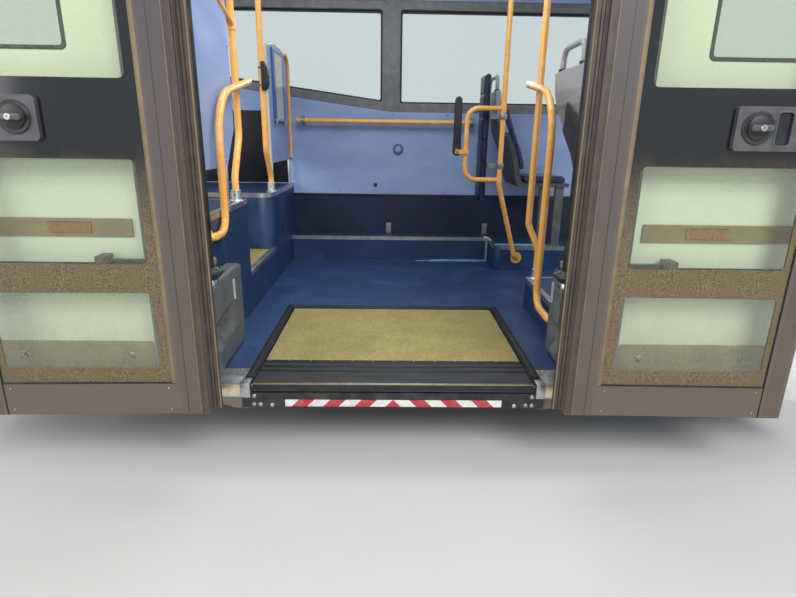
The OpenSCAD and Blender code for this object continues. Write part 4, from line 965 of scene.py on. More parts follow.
def window_beads():
    """Rubber and bright beads around every pane, and the cover of the far side's post."""
    inner, outer, frame_edges, bright = [], [], [], []
    for windows, side in ((FAR_WINDOWS, 1), (NEAR_WINDOWS, -1)):
        for window in windows:
            def ring(distance, y, radius):
                line = rounded(inset(window, distance), WINDOW_R - distance / 2)
                return tube([(p.x, side * y, p.y) for p in line], radius, True, 2)
            inner.append(ring(0.062, 1.2375, 0.006))
            outer.append(ring(0.066, 1.2735, 0.0045))
            frame_edges.append(ring(0.003, 1.1975, 0.004))
            bright.append(ring(0.054, 1.2325, 0.0022))
    piece("window_inner_beads", inner, EPDM)
    piece("window_outer_beads", outer, EPDM)
    piece("window_frame_edges", frame_edges, SLOT_MATERIALS["frame_plastic"])
    piece("window_bright_lines", bright, SILVER)
    post = [(-0.074, WAIST + 0.0075), (-0.022, WAIST + 0.0005), (0.043, WAIST + 0.0005),
            (0.043, WINDOW_TOP - 0.0005),
            (-0.074, WINDOW_TOP - 0.0005)]
    piece("window_post_cover", plate(post, 0.0055, edge=0.0015), SLOT_MATERIALS["frame_plastic"],
          place=facing((0, WALL_Y + 0.0015, 0), OUT))
    screws("window_post_screws", [(-0.016, WALL_Y - 0.004, z) for z in (1.402, 1.75, 2.085)],
           OUT, ZINC, 0.0045)


window_beads()


# Far wall and duct: screws, bell push, anchors, sealant

def wall_bell():
    """The round bell push: blue housing, grey-blue ring and a dished pale button."""
    centre = (0.043, WALL_Y - 0.016, 1.068)
    piece("wall_bell_housing", turned([(0.039, -0.01), (0.039, 0), (0.036, 0.004), (0.027, 0.0045),
                                       (0.026, 0.002)],
                                      36), moulded("blue_housing_abs", "#3d5c9c", "#4a69a8", 0.4),
          place=facing(centre, OUT))
    piece("wall_bell_ring", turned([(0.027, 0.0005), (0.026, 0.0052), (0.0215, 0.0052),
                                    (0.0205, 0.0005)], 36),
          moulded("grey_blue_ring_abs", "#6f819c", "#7f90aa", 0.35), place=facing(centre, OUT))
    piece("wall_bell_button", turned([(0.0205, 0.0005), (0.02, 0.006), (0.014, 0.0078), (0, 0.007)], 36),
          moulded("pale_button_abs", "#93a3b8", "#a5b2c4", 0.3), place=facing(centre, OUT))


def stanchion_bell():
    """Housing on the rear stanchion with a chamfered front and a red domed button on each side."""
    low = Vector((-0.836, 0.3815, 1.436))
    high = low + Vector((0.048, 0.062, 0.128))
    button = turned([(0.0165, -0.001), (0.016, 0.003), (0.012, 0.0055), (0, 0.0065)], 24)
    collar = turned([(0.0215, 0), (0.0215, 0.002), (0.0185, 0.0032), (0.0165, 0.0015), (0.0165, 0)], 24)
    middle = (low + high) / 2
    places = [facing((high.x, middle.y + 0.004, middle.z + 0.006), FORE),
              facing((low.x, middle.y + 0.004, middle.z + 0.006), AFT)]
    piece("stanchion_bell_buttons", [(button.copy(), place) for place in places],
          moulded("red_button_abs", "#b3262b", "#c73a3c", 0.3))
    piece("stanchion_bell_collars", [(collar.copy(), place) for place in places], MID_ABS)
    body = [(-0.8125, 1.42), (-0.788, 1.42), (-0.77, 1.455), (-0.77, 1.545), (-0.788, 1.585),
            (-0.8125, 1.585)]
    piece("stanchion_bell_body", plate(body, 0.056, edge=0.006, steps=3), DARK_ABS,
          place=facing((0, 0.389, 0), OUT))
    piece("stanchion_bell_push", turned([(0.013, -0.001), (0.0125, 0.003), (0.009, 0.005), (0, 0.0056)], 24),
          moulded("dark_red_button_abs", "#a31f28", "#b8323a", 0.3),
          place=facing((-0.77, 0.361, 1.503), FORE))
    clamp = [tube([(POST_X + 0.0205 * math.cos(a), 0.364 + 0.0205 * math.sin(a), z) for a in
                   [math.tau * k / 24 for k in range(24)]], 0.003, True, 2) for z in (1.45, 1.55)]
    piece("stanchion_bell_clamps", clamp, DARK_ABS)
    button.free()
    collar.free()


def far_wall_trim():
    """Screws, a near-black sheet painted as shade behind the rear platform, belt anchors, joint strip,
    sealant and coving of the far wall.
    """
    blue_screw = wall_laminate("blue_painted_screw", "#6f82b4", "#6477a8")
    screws("lining_screws", [(-1.7 + 0.425 * k, WALL_Y, z) for k in range(9) for z in (0.735, 1.325)], OUT,
           blue_screw, 0.006)
    screws("channel_screws", [(-0.7 + 0.28 * k, WALL_Y, LOW_LINING_TOP) for k in range(6)], OUT,
           DARK_ABS, 0.006)
    # A near-black sheet over the far wall behind the rear platform: painted shade
    piece("rear_shade_sheet", bar((-HALF_L + 0.002, WALL_Y - 0.0025, 0.798),
                                 (-0.832, WALL_Y + 0.001, 1.34), 0.0008),
          vinyl("painted_shade_black_vinyl", "#060912", "#0b101d", "#141c2c"))
    waist = [(-0.022, 0.0), (0.022, 0.0), (0.019, 0.03), (0.0195, 0.062), (0.022, 0.088), (-0.022, 0.088),
             (-0.0195, 0.062), (-0.019, 0.03)]
    hole = [(0.0035 * math.cos(a), 0.045 + 0.0035 * math.sin(a)) for a in [math.tau * k / 12
                                                                           for k in range(12)]]
    anchor_places = [Vector((-0.026, WALL_Y - 0.001, 0.3965)), Vector((0.765, WALL_Y - 0.001, 0.3965))]
    piece("belt_anchors", [(plate(waist, 0.004, [hole], edge=0.0008), facing(p, OUT))
                                  for p in anchor_places], CAST)
    piece("wall_plug", turned([(0.0165, -0.001), (0.0165, 0.002), (0.012, 0.004), (0, 0.0045)], 24), EPDM,
          place=facing((-0.135, WALL_Y, 0.787), OUT))
    channel = bar((-0.788, WALL_Y - 0.006, LOW_LINING_TOP), (HALF_L - 0.002, WALL_Y + 0.001, 0.7165), 0.002)
    piece("lining_joint_strip", channel, DARK_ABS)
    cyan = moulded("pale_blue_sealant", "#6fa3b8", "#82b2c4", 0.5)
    corner = 0.762
    foot = [(0.195 + 0.0478 * k, DUCT_Y - 0.0015 * math.sin(k * 1.9), FLOOR_Z + 0.002 + 0.0015 * min(k, 3))
            for k in range(13)]
    beads = [tube(foot[:6], 0.005), tube([(0.3, DUCT_Y - 0.006, FLOOR_Z + 0.003), *foot[4:],
                                           (corner, DUCT_Y - 0.004, FLOOR_Z + 0.0065)], 0.0105),
             tube([(corner, DUCT_Y - 0.004, FLOOR_Z + 0.002), (corner + 0.0006, DUCT_Y - 0.0035, 0.3),
                   (corner, DUCT_Y - 0.004, 0.384)], 0.0105)]
    beads.append(tube([(0.782 + (1.07 - 0.782) * k / 6, 0.793, 0.3865 + 0.0006 * math.sin(k * 2.3))
                       for k in range(7)], 0.01))
    piece("sealant_beads", beads, cyan)
    blob = [(0.736, 1.031, 0.399), (0.752, 1.029, 0.398), (0.766, 1.022, 0.396), (0.776, 1.005, 0.39),
            (0.779, 0.98, 0.386)]
    piece("corner_sealant", tube(blob, 0.01, steps=4), moulded("cream_sealant", "#d8dcc0", "#c9cdb0", 0.5))
    coving = [tube([(-0.788, 1.0345, FLOOR_Z + 0.0005), (0.774, 1.0345, FLOOR_Z + 0.0005)], 0.003),
              tube([(-0.7895, -0.745, FLOOR_Z + 0.0005), (-0.7895, 1.03, FLOOR_Z + 0.0005)], 0.003)]
    piece("floor_coving", coving, SLOT_MATERIALS["dark_vinyl"])


wall_bell()
stanchion_bell()
far_wall_trim()


# Screens beside the rear platforms: poster card, edge trims, screws

def screen_trim():
    """Poster card and rim, edging and feet of the screens."""
    face = -0.805 + 0.009
    card = [0.69, 1.262, 0.948, 1.69]
    piece("poster_card", plate(rectangle(card[0], card[1], card[2], card[3]), 0.001),
          moulded("blank_cream_card", "#c5c9b4", "#b4bbaa", 0.25), place=facing((face - 0.0002, 0, 0), FORE))
    cover = plate(rectangle(0.622, 1.24, 0.984, 1.704, 0.006), 0.002,
                  [rectangle(0.694, 1.266, 0.944, 1.684, 0.004)], edge=0.0008)
    piece("poster_rim", cover, SLOT_MATERIALS["poster_blue"], place=facing((face - 0.0001, 0, 0), FORE))
    piece("poster_clip_bar", [tube([(face + 0.006, 0.63, 1.256), (face + 0.006, 0.98, 1.256)], 0.0055),
                                     *[bar((face, y - 0.008, 1.226), (face + 0.012, y + 0.008, 1.262), 0.002)
                                       for y in (0.65, 0.965)]], SILVER)
    screws("poster_screws", [(face + 0.0018, y, z) for y in (0.634, 0.972) for z in (1.253, 1.694)], FORE,
           ZINC, 0.004)
    top = []
    for k in range(13):
        y = 0.4895 + (1.19 - 0.4895) * k / 12
        top.append((POST_X, y, SCREEN_TOP - SCREEN_R + math.sqrt(SCREEN_R ** 2 - (y - SCREEN_MID) ** 2)))
    rim = [(POST_X, 0.4895, 0.985), *top]
    piece("far_screen_edging", tube(rim, 0.0085, steps=3), moulded("cream_edge_trim", "#cfcdb8",
                                                                   "#bdbba8", 0.4))
    edge_rail = [(1.183, 0.992), (1.183, 1.62), (1.179, 1.652), (1.166, 1.68), (1.146, 1.7), (1.12, 1.713),
                 (1.09, 1.722)]
    rail = piece("far_screen_edge_rail", tube([(-0.7975, y, z) for y, z in edge_rail], 0.012,
                                              steps=4), RAIL_COAT)
    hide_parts("screen_rail")
    piece("far_screen_foot_strip", bar((-0.8215, 0.492, 0.8), (-0.8025, 0.512, 0.985), 0.003), SILVER)
    piece("far_screen_foot_angle", bar((-0.82, 1.13, 0.796), (-0.804, 1.15, 0.985), 0.003), SILVER)
    near = [bar((-0.8215, y, 0.829), (-0.8025, y + 0.02, 1.012), 0.003) for y in (-1.11, -0.54)]
    piece("near_screen_feet", near, SILVER)
    screws("near_screen_screws", [(-0.8048, y, z) for y, z in ((-0.385, 1.275), (-0.385, 1.56), (-0.385, 1.9),
                                                              (-1.1, 1.06), (-1.1, 1.9), (-0.53, 1.04))],
           FORE, ZINC, 0.0055)
    screws("far_screen_screws", [(-0.8048, y, z) for y, z in ((0.515, 1.02), (0.515, 1.64), (1.14, 1.02),
                                                             (0.7, 1.02))], FORE, ZINC, 0.0055)


screen_trim()


# Steps and platforms: ribs in the nosings, round nose on the first step, screws

def step_trim():
    """Ridges in the nosings and screws of steps and platforms."""
    nose = tube([(-0.7885, y, 0.4268) for y in (-0.262, 0.0, 0.3)], 0.0052)
    piece("first_step_nose", nose, SILVER)
    ridges = []
    for x, z in ((-0.79, 0.43), (-1.05, 0.615), (-1.31, 0.8)):
        for k in range(4):
            ridges.append(bar((x - 0.0215 + 0.0052 * k, -0.262, z - 0.0005),
                              (x - 0.019 + 0.0052 * k, 0.326, z + 0.0009),
                              0.0004))
    for k in range(4):
        ridges.append(bar((-0.8125 + 0.0052 * k, -1.195, 0.8255), (-0.81 + 0.0052 * k, -0.272,
                                                                   0.8269), 0.0004))
        ridges.append(bar((-0.8125 + 0.0052 * k, 0.428, 0.7945), (-0.81 + 0.0052 * k, 1.195, 0.7959), 0.0004))
    piece("nosing_ridges", ridges, SILVER)
    screws("platform_screws", [(-0.787, y, 0.812) for y in (-1.1, -0.85, -0.6, -0.32)]
           + [(-0.787, y, 0.781) for y in (0.5, 0.8, 1.1)], FORE, ZINC, 0.004)
    screws("duct_trim_screws", [(-0.7 + 0.28 * k, 1.032, 0.384) for k in range(6)], OUT, ZINC, 0.004)


step_trim()


# Rails: flanges, clamps and screws

def rail_trim():
    """Round rosettes where rails meet walls, split clamps at the branches, and set screws in the sockets."""
    rosette = [(0.018, 0.01), (0.024, 0.008), (0.03, 0.004), (0.03, 0)]
    places = [facing((-0.79, -0.9, 0.733), FORE), facing((0.775, -0.815, 0.338), AFT)]
    piece("rail_rosettes", spun(rosette, places, 28), RAIL_COAT)
    clamps = [Matrix.Translation(p) for p in ((LOOP_X, LOOP_Y, 1.35), (LOOP_X, LOOP_Y, 0.881),
                                              (POST_X, -0.252, 1.675))]
    piece("rail_clamps", spun([(0.0178, -0.026), (0.0205, -0.024), (0.0205, 0.024),
                               (0.0178, 0.026)], clamps, 28),
          RAIL_COAT)
    socket_heads, collars = [], []
    for x, y, z in ((POST_X, -0.383, 0.826), (POST_X, 0.467, 0.795), (0.822, -0.21, 0.385)):
        for turn in (0.0, 0.25, 0.75):
            normal = Vector((math.cos(turn * math.tau), math.sin(turn * math.tau), 0))
            socket_heads.append((turned([(0.0045, -0.001), (0.0045, 0.0022), (0.003, 0.003), (0.002, 0.0012),
                                         (0, 0.0012)], 12), facing(Vector((x, y, z + 0.034)) + normal
                                                                   * 0.0236, normal)))
        collars.append((turned([(0.024, 0.0005), (0.033, 0.0005), (0.0335, 0.0035), (0.0275, 0.008),
                                (0.0246, 0.011), (0.024, 0.011)], 32), Matrix.Translation((x, y, z))))
        collars.append((turned([(0.0242, 0.05), (0.0252, 0.052), (0.0245, 0.0575), (0.0205, 0.06),
                                (0.0176, 0.06)], 32), Matrix.Translation((x, y, z))))
    piece("socket_screws", socket_heads, DARK_ABS)
    piece("socket_collars", collars, BRIGHT)
    rings = [facing((x + 0.022, WALL_RAIL_Y, WALL_RAIL_Z), FORE) for x in (-0.706, 0.584)]
    piece("wall_rail_rings", spun([(0.0178, -0.013), (0.03, -0.013), (0.033, -0.01), (0.033, 0.01),
                                   (0.03, 0.013), (0.0178, 0.013)], rings, 32), CAST)
    ends = [facing((x, WALL_RAIL_Y, WALL_RAIL_Z), normal) for x, normal in ((-0.735, AFT), (0.61, FORE))]
    piece("wall_rail_caps", spun([(0.0172, -0.002), (0.0182, 0.001), (0.015, 0.006), (0, 0.008)], ends, 28),
          RAIL_COAT)
    tops = [Matrix.Translation((x, y, CEILING_Z))
            for x, y in ((POST_X, -0.252), (POST_X, 0.364), (LOOP_X, LOOP_Y), (0.767, -0.17))]
    piece("ceiling_sockets", spun([(0.0178, -0.034), (0.0225, -0.032), (0.0225, -0.01), (0.034, -0.004),
                                   (0.036, 0)], tops, 28), CAST)
    pad_clamps = [bar((0.7545, 0.588, z + 0.004), (0.7605, 0.612, z + 0.03), 0.002) for z in (0.96, 1.282)]
    piece("pad_bracket_bosses", pad_clamps, CAST)
    screws("arm_pivot_bolts", [(ARM_X, 0.5725, ARM_Z)], OUT, ZINC, 0.01)
    screws("arm_pivot_nuts", [(ARM_X, 0.6275, ARM_Z)], INTO, ZINC, 0.01)
    grip = [(-0.0265, 0.0), (0.0265, 0.0), (0.0255, 0.165), (0.0215, 0.196), (0.0, 0.2105), (-0.0215, 0.196),
            (-0.0255, 0.165)]
    piece("arm_grip", plate(rounded(grip, 0.006), 0.031, edge=0.007, steps=4),
          moulded("arm_grip_pu", "#27282b", "#333437", 0.6), "arm", facing((ARM_X, 0.6155, 1.214), OUT))
    piece("arm_hub_cap", turned([(0.0285, -0.001), (0.0285, 0.001), (0.024, 0.003),
                                 (0.012, 0.0034)], 36), DARK_ABS,
          "arm", facing((ARM_X, 0.587, ARM_Z), OUT))


rail_trim()


# Soft parts: cushions swollen by cloth pressure, then grooved and piped

def swollen(name, half, shape_r, voxel, pressure, cap, crown):
    """A padded form inside the box of half sizes: an inset block remeshed, blown up as cloth and smoothed."""
    shape = bar([-h for h in half], list(half), shape_r, 4)
    for vert in shape.verts:
        out = [abs(c) / h for c, h in zip(vert.co, half)]
        vert.co.x *= 1 - 0.03 * out[1] ** 2 if half[0] > half[1] else 1
    mesh = bpy.data.meshes.new(name)
    shape.to_mesh(mesh)
    shape.free()
    holder = bpy.data.objects.new(name, mesh)
    bpy.context.collection.objects.link(holder)
    remesh = holder.modifiers.new("remesh", "REMESH")
    remesh.mode = "VOXEL"
    remesh.voxel_size = voxel
    mesh = bpy.data.meshes.new_from_object(holder.evaluated_get(bpy.context.evaluated_depsgraph_get()))
    holder.modifiers.clear()
    holder.data = mesh
    rest = [v.co.copy() for v in mesh.vertices]
    cloth = holder.modifiers.new("cloth", "CLOTH")
    cloth.settings.use_pressure = True
    cloth.settings.uniform_pressure_force = pressure
    cloth.settings.effector_weights.gravity = 0
    scene = bpy.context.scene
    for step in range(1, 21):
        scene.frame_set(step)
    blown = holder.evaluated_get(bpy.context.evaluated_depsgraph_get()).data
    moved = [v.co.copy() for v in blown.vertices]
    holder.modifiers.clear()
    scene.frame_set(1)
    for vert, before, after in zip(mesh.vertices, rest, moved):
        step = after - before
        if step.length > cap:
            step *= cap / step.length
        vert.co = before + step
    thin = min(range(3), key=lambda axis: half[axis])
    wide = [axis for axis in range(3) if axis != thin]
    for vert in mesh.vertices:
        round_off = 1.0
        for axis in wide:
            round_off *= 1 - min(1, abs(vert.co[axis]) / half[axis]) ** 4
        vert.co[thin] *= 1 + crown * round_off
    bpy.data.objects.remove(holder)
    return mesh


def grooved(mesh, axis, places, width, depth, thin, sign):
    """Sewn channels: points near a line across the pad are pulled in on the side that sign gives."""
    for vert in mesh.vertices:
        if vert.co[thin] * sign < 0:
            continue
        for at in places:
            away = abs(vert.co[axis] - at) / width
            if away < 1:
                vert.co[thin] -= sign * depth * (1 - away * away) ** 2


def on_mesh(mesh, points, direction):
    """Points laid on a mesh along a direction, for piping and seams."""
    shape = bmesh.new()
    shape.from_mesh(mesh)
    tree = BVHTree.FromBMesh(shape)
    shape.free()
    laid = []
    for point in points:
        hit = tree.ray_cast(Vector(point) - Vector(direction) * 0.3, Vector(direction))[0]
        laid.append(hit if hit is not None else Vector(point))
    return laid


def soft_piece(name, mesh, place, material):
    """A padded piece of a shared form at a place, with one more subdivision."""
    copy = mesh.copy()
    copy.transform(place)
    copy.materials.clear()
    copy.materials.append(material)
    for polygon in copy.polygons:
        polygon.use_smooth = True
    made = bpy.data.objects.new(name, copy)
    bpy.context.collection.objects.link(made)
    made.modifiers.new("smooth", "SUBSURF").levels = 1
    made.modifiers["smooth"].render_levels = 1
    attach(made, "root")
    return made


SEATS = [(0.7, 0.976), (0.8, -0.48), (0.8, -0.94)]
PODIUM_Z = 0.382
SQUAB = (0.158, 0.198, 0.0228)
BACK = (0.0175, 0.198, 0.24)
BACK_MID = 0.79
# Middle of the back cushion and rear face of the shell, as X at heights above the podium
CUSHION_CURVE = [(0.5, 0.252), (0.55, 0.244), (0.6, 0.233), (0.706, 0.203), (0.82, 0.15), (0.94, 0.099),
                 (1.0, 0.086), (1.06, 0.076)]
SHELL_REAR = [(0.44, 0.214), (0.5, 0.186), (0.6, 0.168), (0.705, 0.137), (0.815, 0.084), (0.935, 0.032),
              (1.0, 0.018), (1.09, 0.01)]


def along(curve, z):
    """X of a seat's curve at a height."""
    for (z0, x0), (z1, x1) in zip(curve, curve[1:]):
        if z <= z1:
            return x0 + (x1 - x0) * (z - z0) / (z1 - z0)
    return curve[-1][1]


def leaning(point):
    """A point of the flat back cushion, moved onto the back's curve."""
    z = BACK_MID + point[2]
    shift = sum(along(CUSHION_CURVE, z + step) for step in (-0.03, -0.015, 0, 0.015, 0.03)) / 5
    return Vector((point[0] + shift, point[1], z))


def seat_cushions():
    """Squab and back cushion of each seat, of two shared forms, with two sewn channels and piping."""
    squab = swollen("squab", (SQUAB[0] - 0.008, SQUAB[1] - 0.008, SQUAB[2] - 0.005), 0.014, 0.007,
                    3.0, 0.008, 0.16)
    grooved(squab, 1, (-0.115, 0.115), 0.012, 0.006, 2, 1)
    back = swollen("back", (BACK[0] - 0.003, BACK[1] - 0.008, BACK[2] - 0.008), 0.01, 0.006, 2.5, 0.006, 0.2)
    grooved(back, 1, (-0.115, 0.115), 0.012, 0.006, 0, 1)
    grooved(back, 2, (-0.13,), 0.01, 0.005, 0, 1)
    squab_line = on_mesh(squab,
                         [(p.x, p.y, 0) for p in rounded(rectangle(-0.134, -0.172, 0.134, 0.172), 0.045)],
                         DOWN)
    back_line = on_mesh(back,
                        [(0, p.x, p.y) for p in rounded(rectangle(-0.172, -0.214, 0.172, 0.214), 0.045)],
                        AFT)
    for vert in back.vertices:
        vert.co = leaning(vert.co)
    squabs, backs, piping = [], [], []
    for number, (x, y) in enumerate(SEATS):
        squab_at = Matrix.Translation((x + 0.426, y, PODIUM_Z + 0.4895))
        back_at = Matrix.Translation((x, y, PODIUM_Z))
        squabs.append(soft_piece(f"seat_squab_{number}", squab, squab_at, MOQUETTE))
        backs.append(soft_piece(f"seat_back_cushion_{number}", back, back_at, MOQUETTE))
        piping.append(tube([squab_at @ p for p in squab_line], 0.0028, True, 2))
        piping.append(tube([back_at @ leaning(p) for p in back_line], 0.0028, True, 2))
    piece("seat_piping", piping, NAVY_HIDE)
    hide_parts("seat_cushions")


def backrest_pad():
    """The tall pad of the wheelchair place: leather over foam, with cross seams that pull it in."""
    low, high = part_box("backrest_pad")
    half = [(h - l) / 2 for l, h in zip(low, high)]
    pad = swollen("pad", (half[0] - 0.002, half[1] - 0.006, half[2] - 0.006), 0.012, 0.007, 3.0, 0.007, 0.2)
    for sign in (-1, 1):
        grooved(pad, 2, (-0.3, -0.15, 0.0, 0.15, 0.3), 0.014, 0.007, 0, sign)
    middle = Matrix.Translation([(l + h) / 2 for l, h in zip(low, high)])
    made = soft_piece("backrest_pad_cover", pad, middle, NAVY_HIDE)
    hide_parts("backrest_pad")
    line = on_mesh(pad, [(0, p.x, p.y) for p in rounded(rectangle(-0.096, -0.418, 0.096, 0.418), 0.03)], FORE)
    piece("pad_piping", tube([middle @ p for p in line], 0.0026, True, 2), EPDM)
    piece("pad_back_board", bar((0.6465, 0.652, 0.73), (0.6535, 0.861, 1.56), 0.002), DARK_ABS)


seat_cushions()
backrest_pad()


# Seats: dark insert panels on the backs' rear faces, handle feet, leg feet

# Half width of the dark insert at heights above the podium: a pointed tongue over a full-width panel
INSERT = [(0.505, 0.196), (0.6, 0.202), (0.7, 0.204), (0.79, 0.205), (0.825, 0.2),
          (0.84, 0.165), (0.862, 0.125),
          (0.89, 0.088), (0.918, 0.052), (0.938, 0.024), (0.946, 0.004)]


def seat_trim():
    """Dark inserts on the backs' rear faces, caps at the handles' feet, and leg plates with screws."""
    inserts, feet, heads, caps = [], [], [], []
    for x, y in SEATS:
        sheet = bmesh.new()
        rows = []
        for k in range(34):
            z = INSERT[0][0] + (INSERT[-1][0] - INSERT[0][0]) * k / 33
            half = along(INSERT, z)
            rear = sum(along(SHELL_REAR, z + step) for step in (-0.012, 0, 0.012)) / 3
            rows.append([sheet.verts.new((x + rear - 0.0032, y + half * (c / 5 - 1), PODIUM_Z + z))
                         for c in range(11)])
        for low, high in zip(rows, rows[1:]):
            for c in range(10):
                sheet.faces.new((low[c], high[c], high[c + 1], low[c + 1]))
        bmesh.ops.recalc_face_normals(sheet, faces=sheet.faces)
        bmesh.ops.solidify(sheet, geom=sheet.faces[:], thickness=0.006)
        inserts.append(sheet)
        for side in (-1, 1):
            caps.append((turned([(0.0148, 0), (0.021, 0.002), (0.021, 0.01), (0.0148, 0.014)], 20),
                         Matrix.Translation((x + 0.03, y + side * 0.15, PODIUM_Z + 1.094))))
        feet.append(bar((x + 0.372, y - 0.2, PODIUM_Z + 0.0005),
                        (x + 0.578, y - 0.14, PODIUM_Z + 0.008), 0.002))
        heads += [(x + px, y - 0.147, PODIUM_Z + 0.0078) for px in (0.38, 0.57)]
    piece("seat_back_inserts", inserts, moulded("dark_seat_insert_pp", "#48494c", "#57585b", 0.55))
    piece("seat_handle_feet", caps, DARK_ABS)
    piece("seat_leg_plates", feet, SLOT_MATERIALS["drive_metal"])
    screws("seat_leg_screws", heads, UP)


seat_trim()


# Ceiling: lamp strips and joints; door drive: cover screws, flap locks, motor and fins

def ceiling_trim():
    """Lamps and joints of the ceiling, and small parts of the door drive."""
    lamps, rims, strips = [], [], []
    glow = moulded("opal_lamp_diffuser", "#eceee8", "#e4e6df", 0.35)
    for y in (-0.62, 0.78):
        for x0, x1 in ((-1.74, -0.62), (-0.56, 0.56), (0.62, 1.74)):
            lamps.append((plate(rectangle(x0, -0.055, x1, 0.055, 0.02), 0.012, edge=0.005),
                          facing((0, y, CEILING_Z + 0.0005), DOWN, INTO)))
            rims.append((plate(rectangle(x0 - 0.008, -0.063, x1 + 0.008, 0.063, 0.026), 0.006,
                               [rectangle(x0, -0.055, x1, 0.055, 0.02)], edge=0.001),
                         facing((0, y, CEILING_Z + 0.0005), DOWN, INTO)))
    piece("ceiling_lamps", lamps, glow)
    piece("ceiling_lamp_rims", rims, SILVER)
    for x in (-0.59, 0.59):
        strips.append(bar((x - 0.012, -0.995, CEILING_Z - 0.0035),
                          (x + 0.012, 1.195, CEILING_Z + 0.0005), 0.001))
    piece("ceiling_joints", strips, SILVER)
    cover = [(-1.7 + 0.34 * k, -0.9965, 2.226) for k in range(11) if abs(-1.7 + 0.34 * k - DOOR_X) > 0.86]
    screws("drive_cover_screws", cover, INTO)
    piece("drive_flap_locks", spun([(0.014, 0), (0.014, 0.002), (0.012, 0.003), (0.005, 0.003),
                                    (0.004, 0.0008),
                                    (0, 0.0008)], [facing((DOOR_X + x, -0.997, 2.24), INTO)
                                                   for x in (-0.6, 0.0, 0.6)], 20), ZINC, "flap")
    motor = [(turned([(0, 0), (0.03, 0), (0.03, 0.012), (0.034, 0.016), (0.034, 0.11),
                      (0.028, 0.122), (0, 0.122)],
                     32), facing((DOOR_X + 0.191, COLUMN_Y, 2.245), FORE))]
    piece("drive_motor", motor, DARK_ABS)
    fins = [bar((DOOR_X - 0.17 + 0.034 * k, -1.171, 2.2895), (DOOR_X - 0.158 + 0.034 * k,
                                                              -1.099, 2.2945), 0.001)
            for k in range(11)]
    piece("drive_fins", fins, SLOT_MATERIALS["drive_metal"])
    screws("gear_bolts", [(DOOR_X + side * COLUMN_OUT + dx, COLUMN_Y + dy, 2.29) for side in (-1, 1)
                          for dx in (-0.052, 0.052) for dy in (-0.038, 0.038)], UP, ZINC, 0.007)


ceiling_trim()


# Underframe: gussets, bolts and floor joists

def underframe_trim():
    """Gussets and bolts between the beams, and joists under the floor."""
    gussets = []
    for x in (-1.72, -0.69, -0.63, 0.63, 0.69, 1.72):
        outward = 1 if x in (-1.72, -0.63, 0.69) else -1
        for y, side in ((-0.6, -1), (-0.52, 1), (0.52, -1), (0.6, 1)):
            outline = [(0, 0), (outward * 0.1, 0), (0, side * 0.1)]
            if outward * side < 0:
                outline = outline[::-1]
            gussets.append((plate(outline, 0.008, edge=0.001), Matrix.Translation((x, y, 0.05))))
    piece("beam_gussets", gussets, SLOT_MATERIALS["chassis_paint"])
    heads = [(x + dx, y, 0.0) for x in (-0.66, 0.66) for y in (-0.56, 0.56) for dx in (-0.018, 0.018)]
    piece("beam_bolts", spun([(0, -0.009), (0.0095, -0.009), (0.011, -0.0075), (0.011, -0.001),
                              (0.015, -0.001),
                              (0.015, 0.0005)], [Matrix.Translation(p) for p in heads], 6), ZINC)
    joists = [bar((x - 0.02, -0.5, 0.1485), (x + 0.02, 0.5, 0.1705), 0.002) for x in (1.0, 1.36)]
    joists += [bar((x - 0.02, y0, 0.1485), (x + 0.02, y1, 0.1705), 0.002) for x in (1.0, 1.36)
               for y0, y1 in ((-1.19, -0.62), (0.62, 1.19))]
    joists += [bar((x - 0.02, 0.62, 0.1485), (x + 0.02, 1.19, 0.1705), 0.002) for x in (-0.3, 0.3)]
    piece("floor_joists", joists, SLOT_MATERIALS["chassis_paint"])


underframe_trim()

# Camera at the photograph's place, solved from its vanishing points
camera = bpy.data.objects.new("camera", bpy.data.cameras.new("camera"))
camera.data.sensor_width = 36.0
camera.data.lens = 23.97
right = Vector((0.999767, -0.016251, 0.014207))
down = Vector((0.008889, -0.289802, -0.957045))
ahead = Vector((0.01967, 0.956949, -0.28959))
camera_place = Matrix((right, -down, -ahead)).transposed().to_4x4()
camera_place.translation = (-0.02874, -3.15872, 1.15)
camera.matrix_world = camera_place
bpy.context.collection.objects.link(camera)
bpy.context.scene.camera = camera

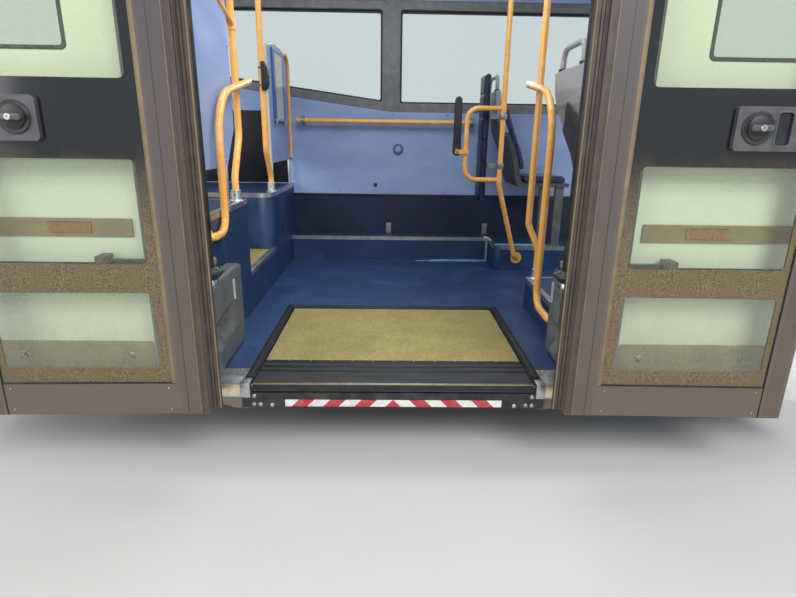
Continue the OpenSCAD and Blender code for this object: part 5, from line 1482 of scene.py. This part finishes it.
# Pale floor and backdrop under soft lamps
GROUND_Z = -0.14
ground = bpy.data.objects.new("ground", bpy.data.meshes.new("ground"))
ground.data.from_pydata([(-30, -30, GROUND_Z), (30, -30, GROUND_Z), (30, 30, GROUND_Z),
                         (-30, 30, GROUND_Z)], [],
                        [(0, 1, 2, 3)])
bpy.context.collection.objects.link(ground)
pale, pale_tree, pale_surface, pale_place = start("pale_studio_floor", Roughness=0.9)
finish_surface(pale_tree, pale_surface, blend(pale_tree, noise(pale_tree, pale_place, 0.4),
                                              "#c9c9c6", "#cfcfcc"))
ground.data.materials.append(pale)

world = bpy.data.worlds.new("studio")
bpy.context.scene.world = world
world.use_nodes = True
world_tree = world.node_tree
world_tree.nodes.clear()
rays = add(world_tree, "LightPath")
seen = combine(world_tree, "MAXIMUM", combine(world_tree, "MAXIMUM", rays.outputs["Is Camera Ray"],
                                              rays.outputs["Is Transmission Ray"]),
               rays.outputs["Is Glossy Ray"])
backdrop = add(world_tree, "Background", {"Color": linear("#e9edf0"), "Strength": 1.0}).outputs[0]
fill = add(world_tree, "Background", {"Color": linear("#e9edf0"), "Strength": 0.7}).outputs[0]
both = add(world_tree, "MixShader", {0: seen, 1: fill, 2: backdrop}).outputs[0]
add(world_tree, "OutputWorld", {0: both})


def lamp(name, place, aim, size, power):
    """A square soft lamp at a place, turned to a point."""
    light = bpy.data.lights.new(name, "AREA")
    light.energy = power
    light.size = size
    holder = bpy.data.objects.new(name, light)
    holder.location = place
    holder.rotation_euler = (Vector(aim) - Vector(place)).to_track_quat("-Z", "Y").to_euler()
    bpy.context.collection.objects.link(holder)
    return holder


lamp("key", (2.4, -6.0, 5.0), (0, -0.8, 0.8), 3.0, 340)
lamp("fill", (-5.0, -4.5, 3.0), (0, -1.0, 1.0), 4.0, 160)
lamp("back", (0.5, 6.0, 4.5), (0, 0.5, 1.5), 3.5, 170)
lamp("saloon", (0, -0.1, 2.38), (0, 0.5, 0.3), 1.4, 30).visible_camera = False

bpy.context.scene.view_settings.view_transform = "Standard"
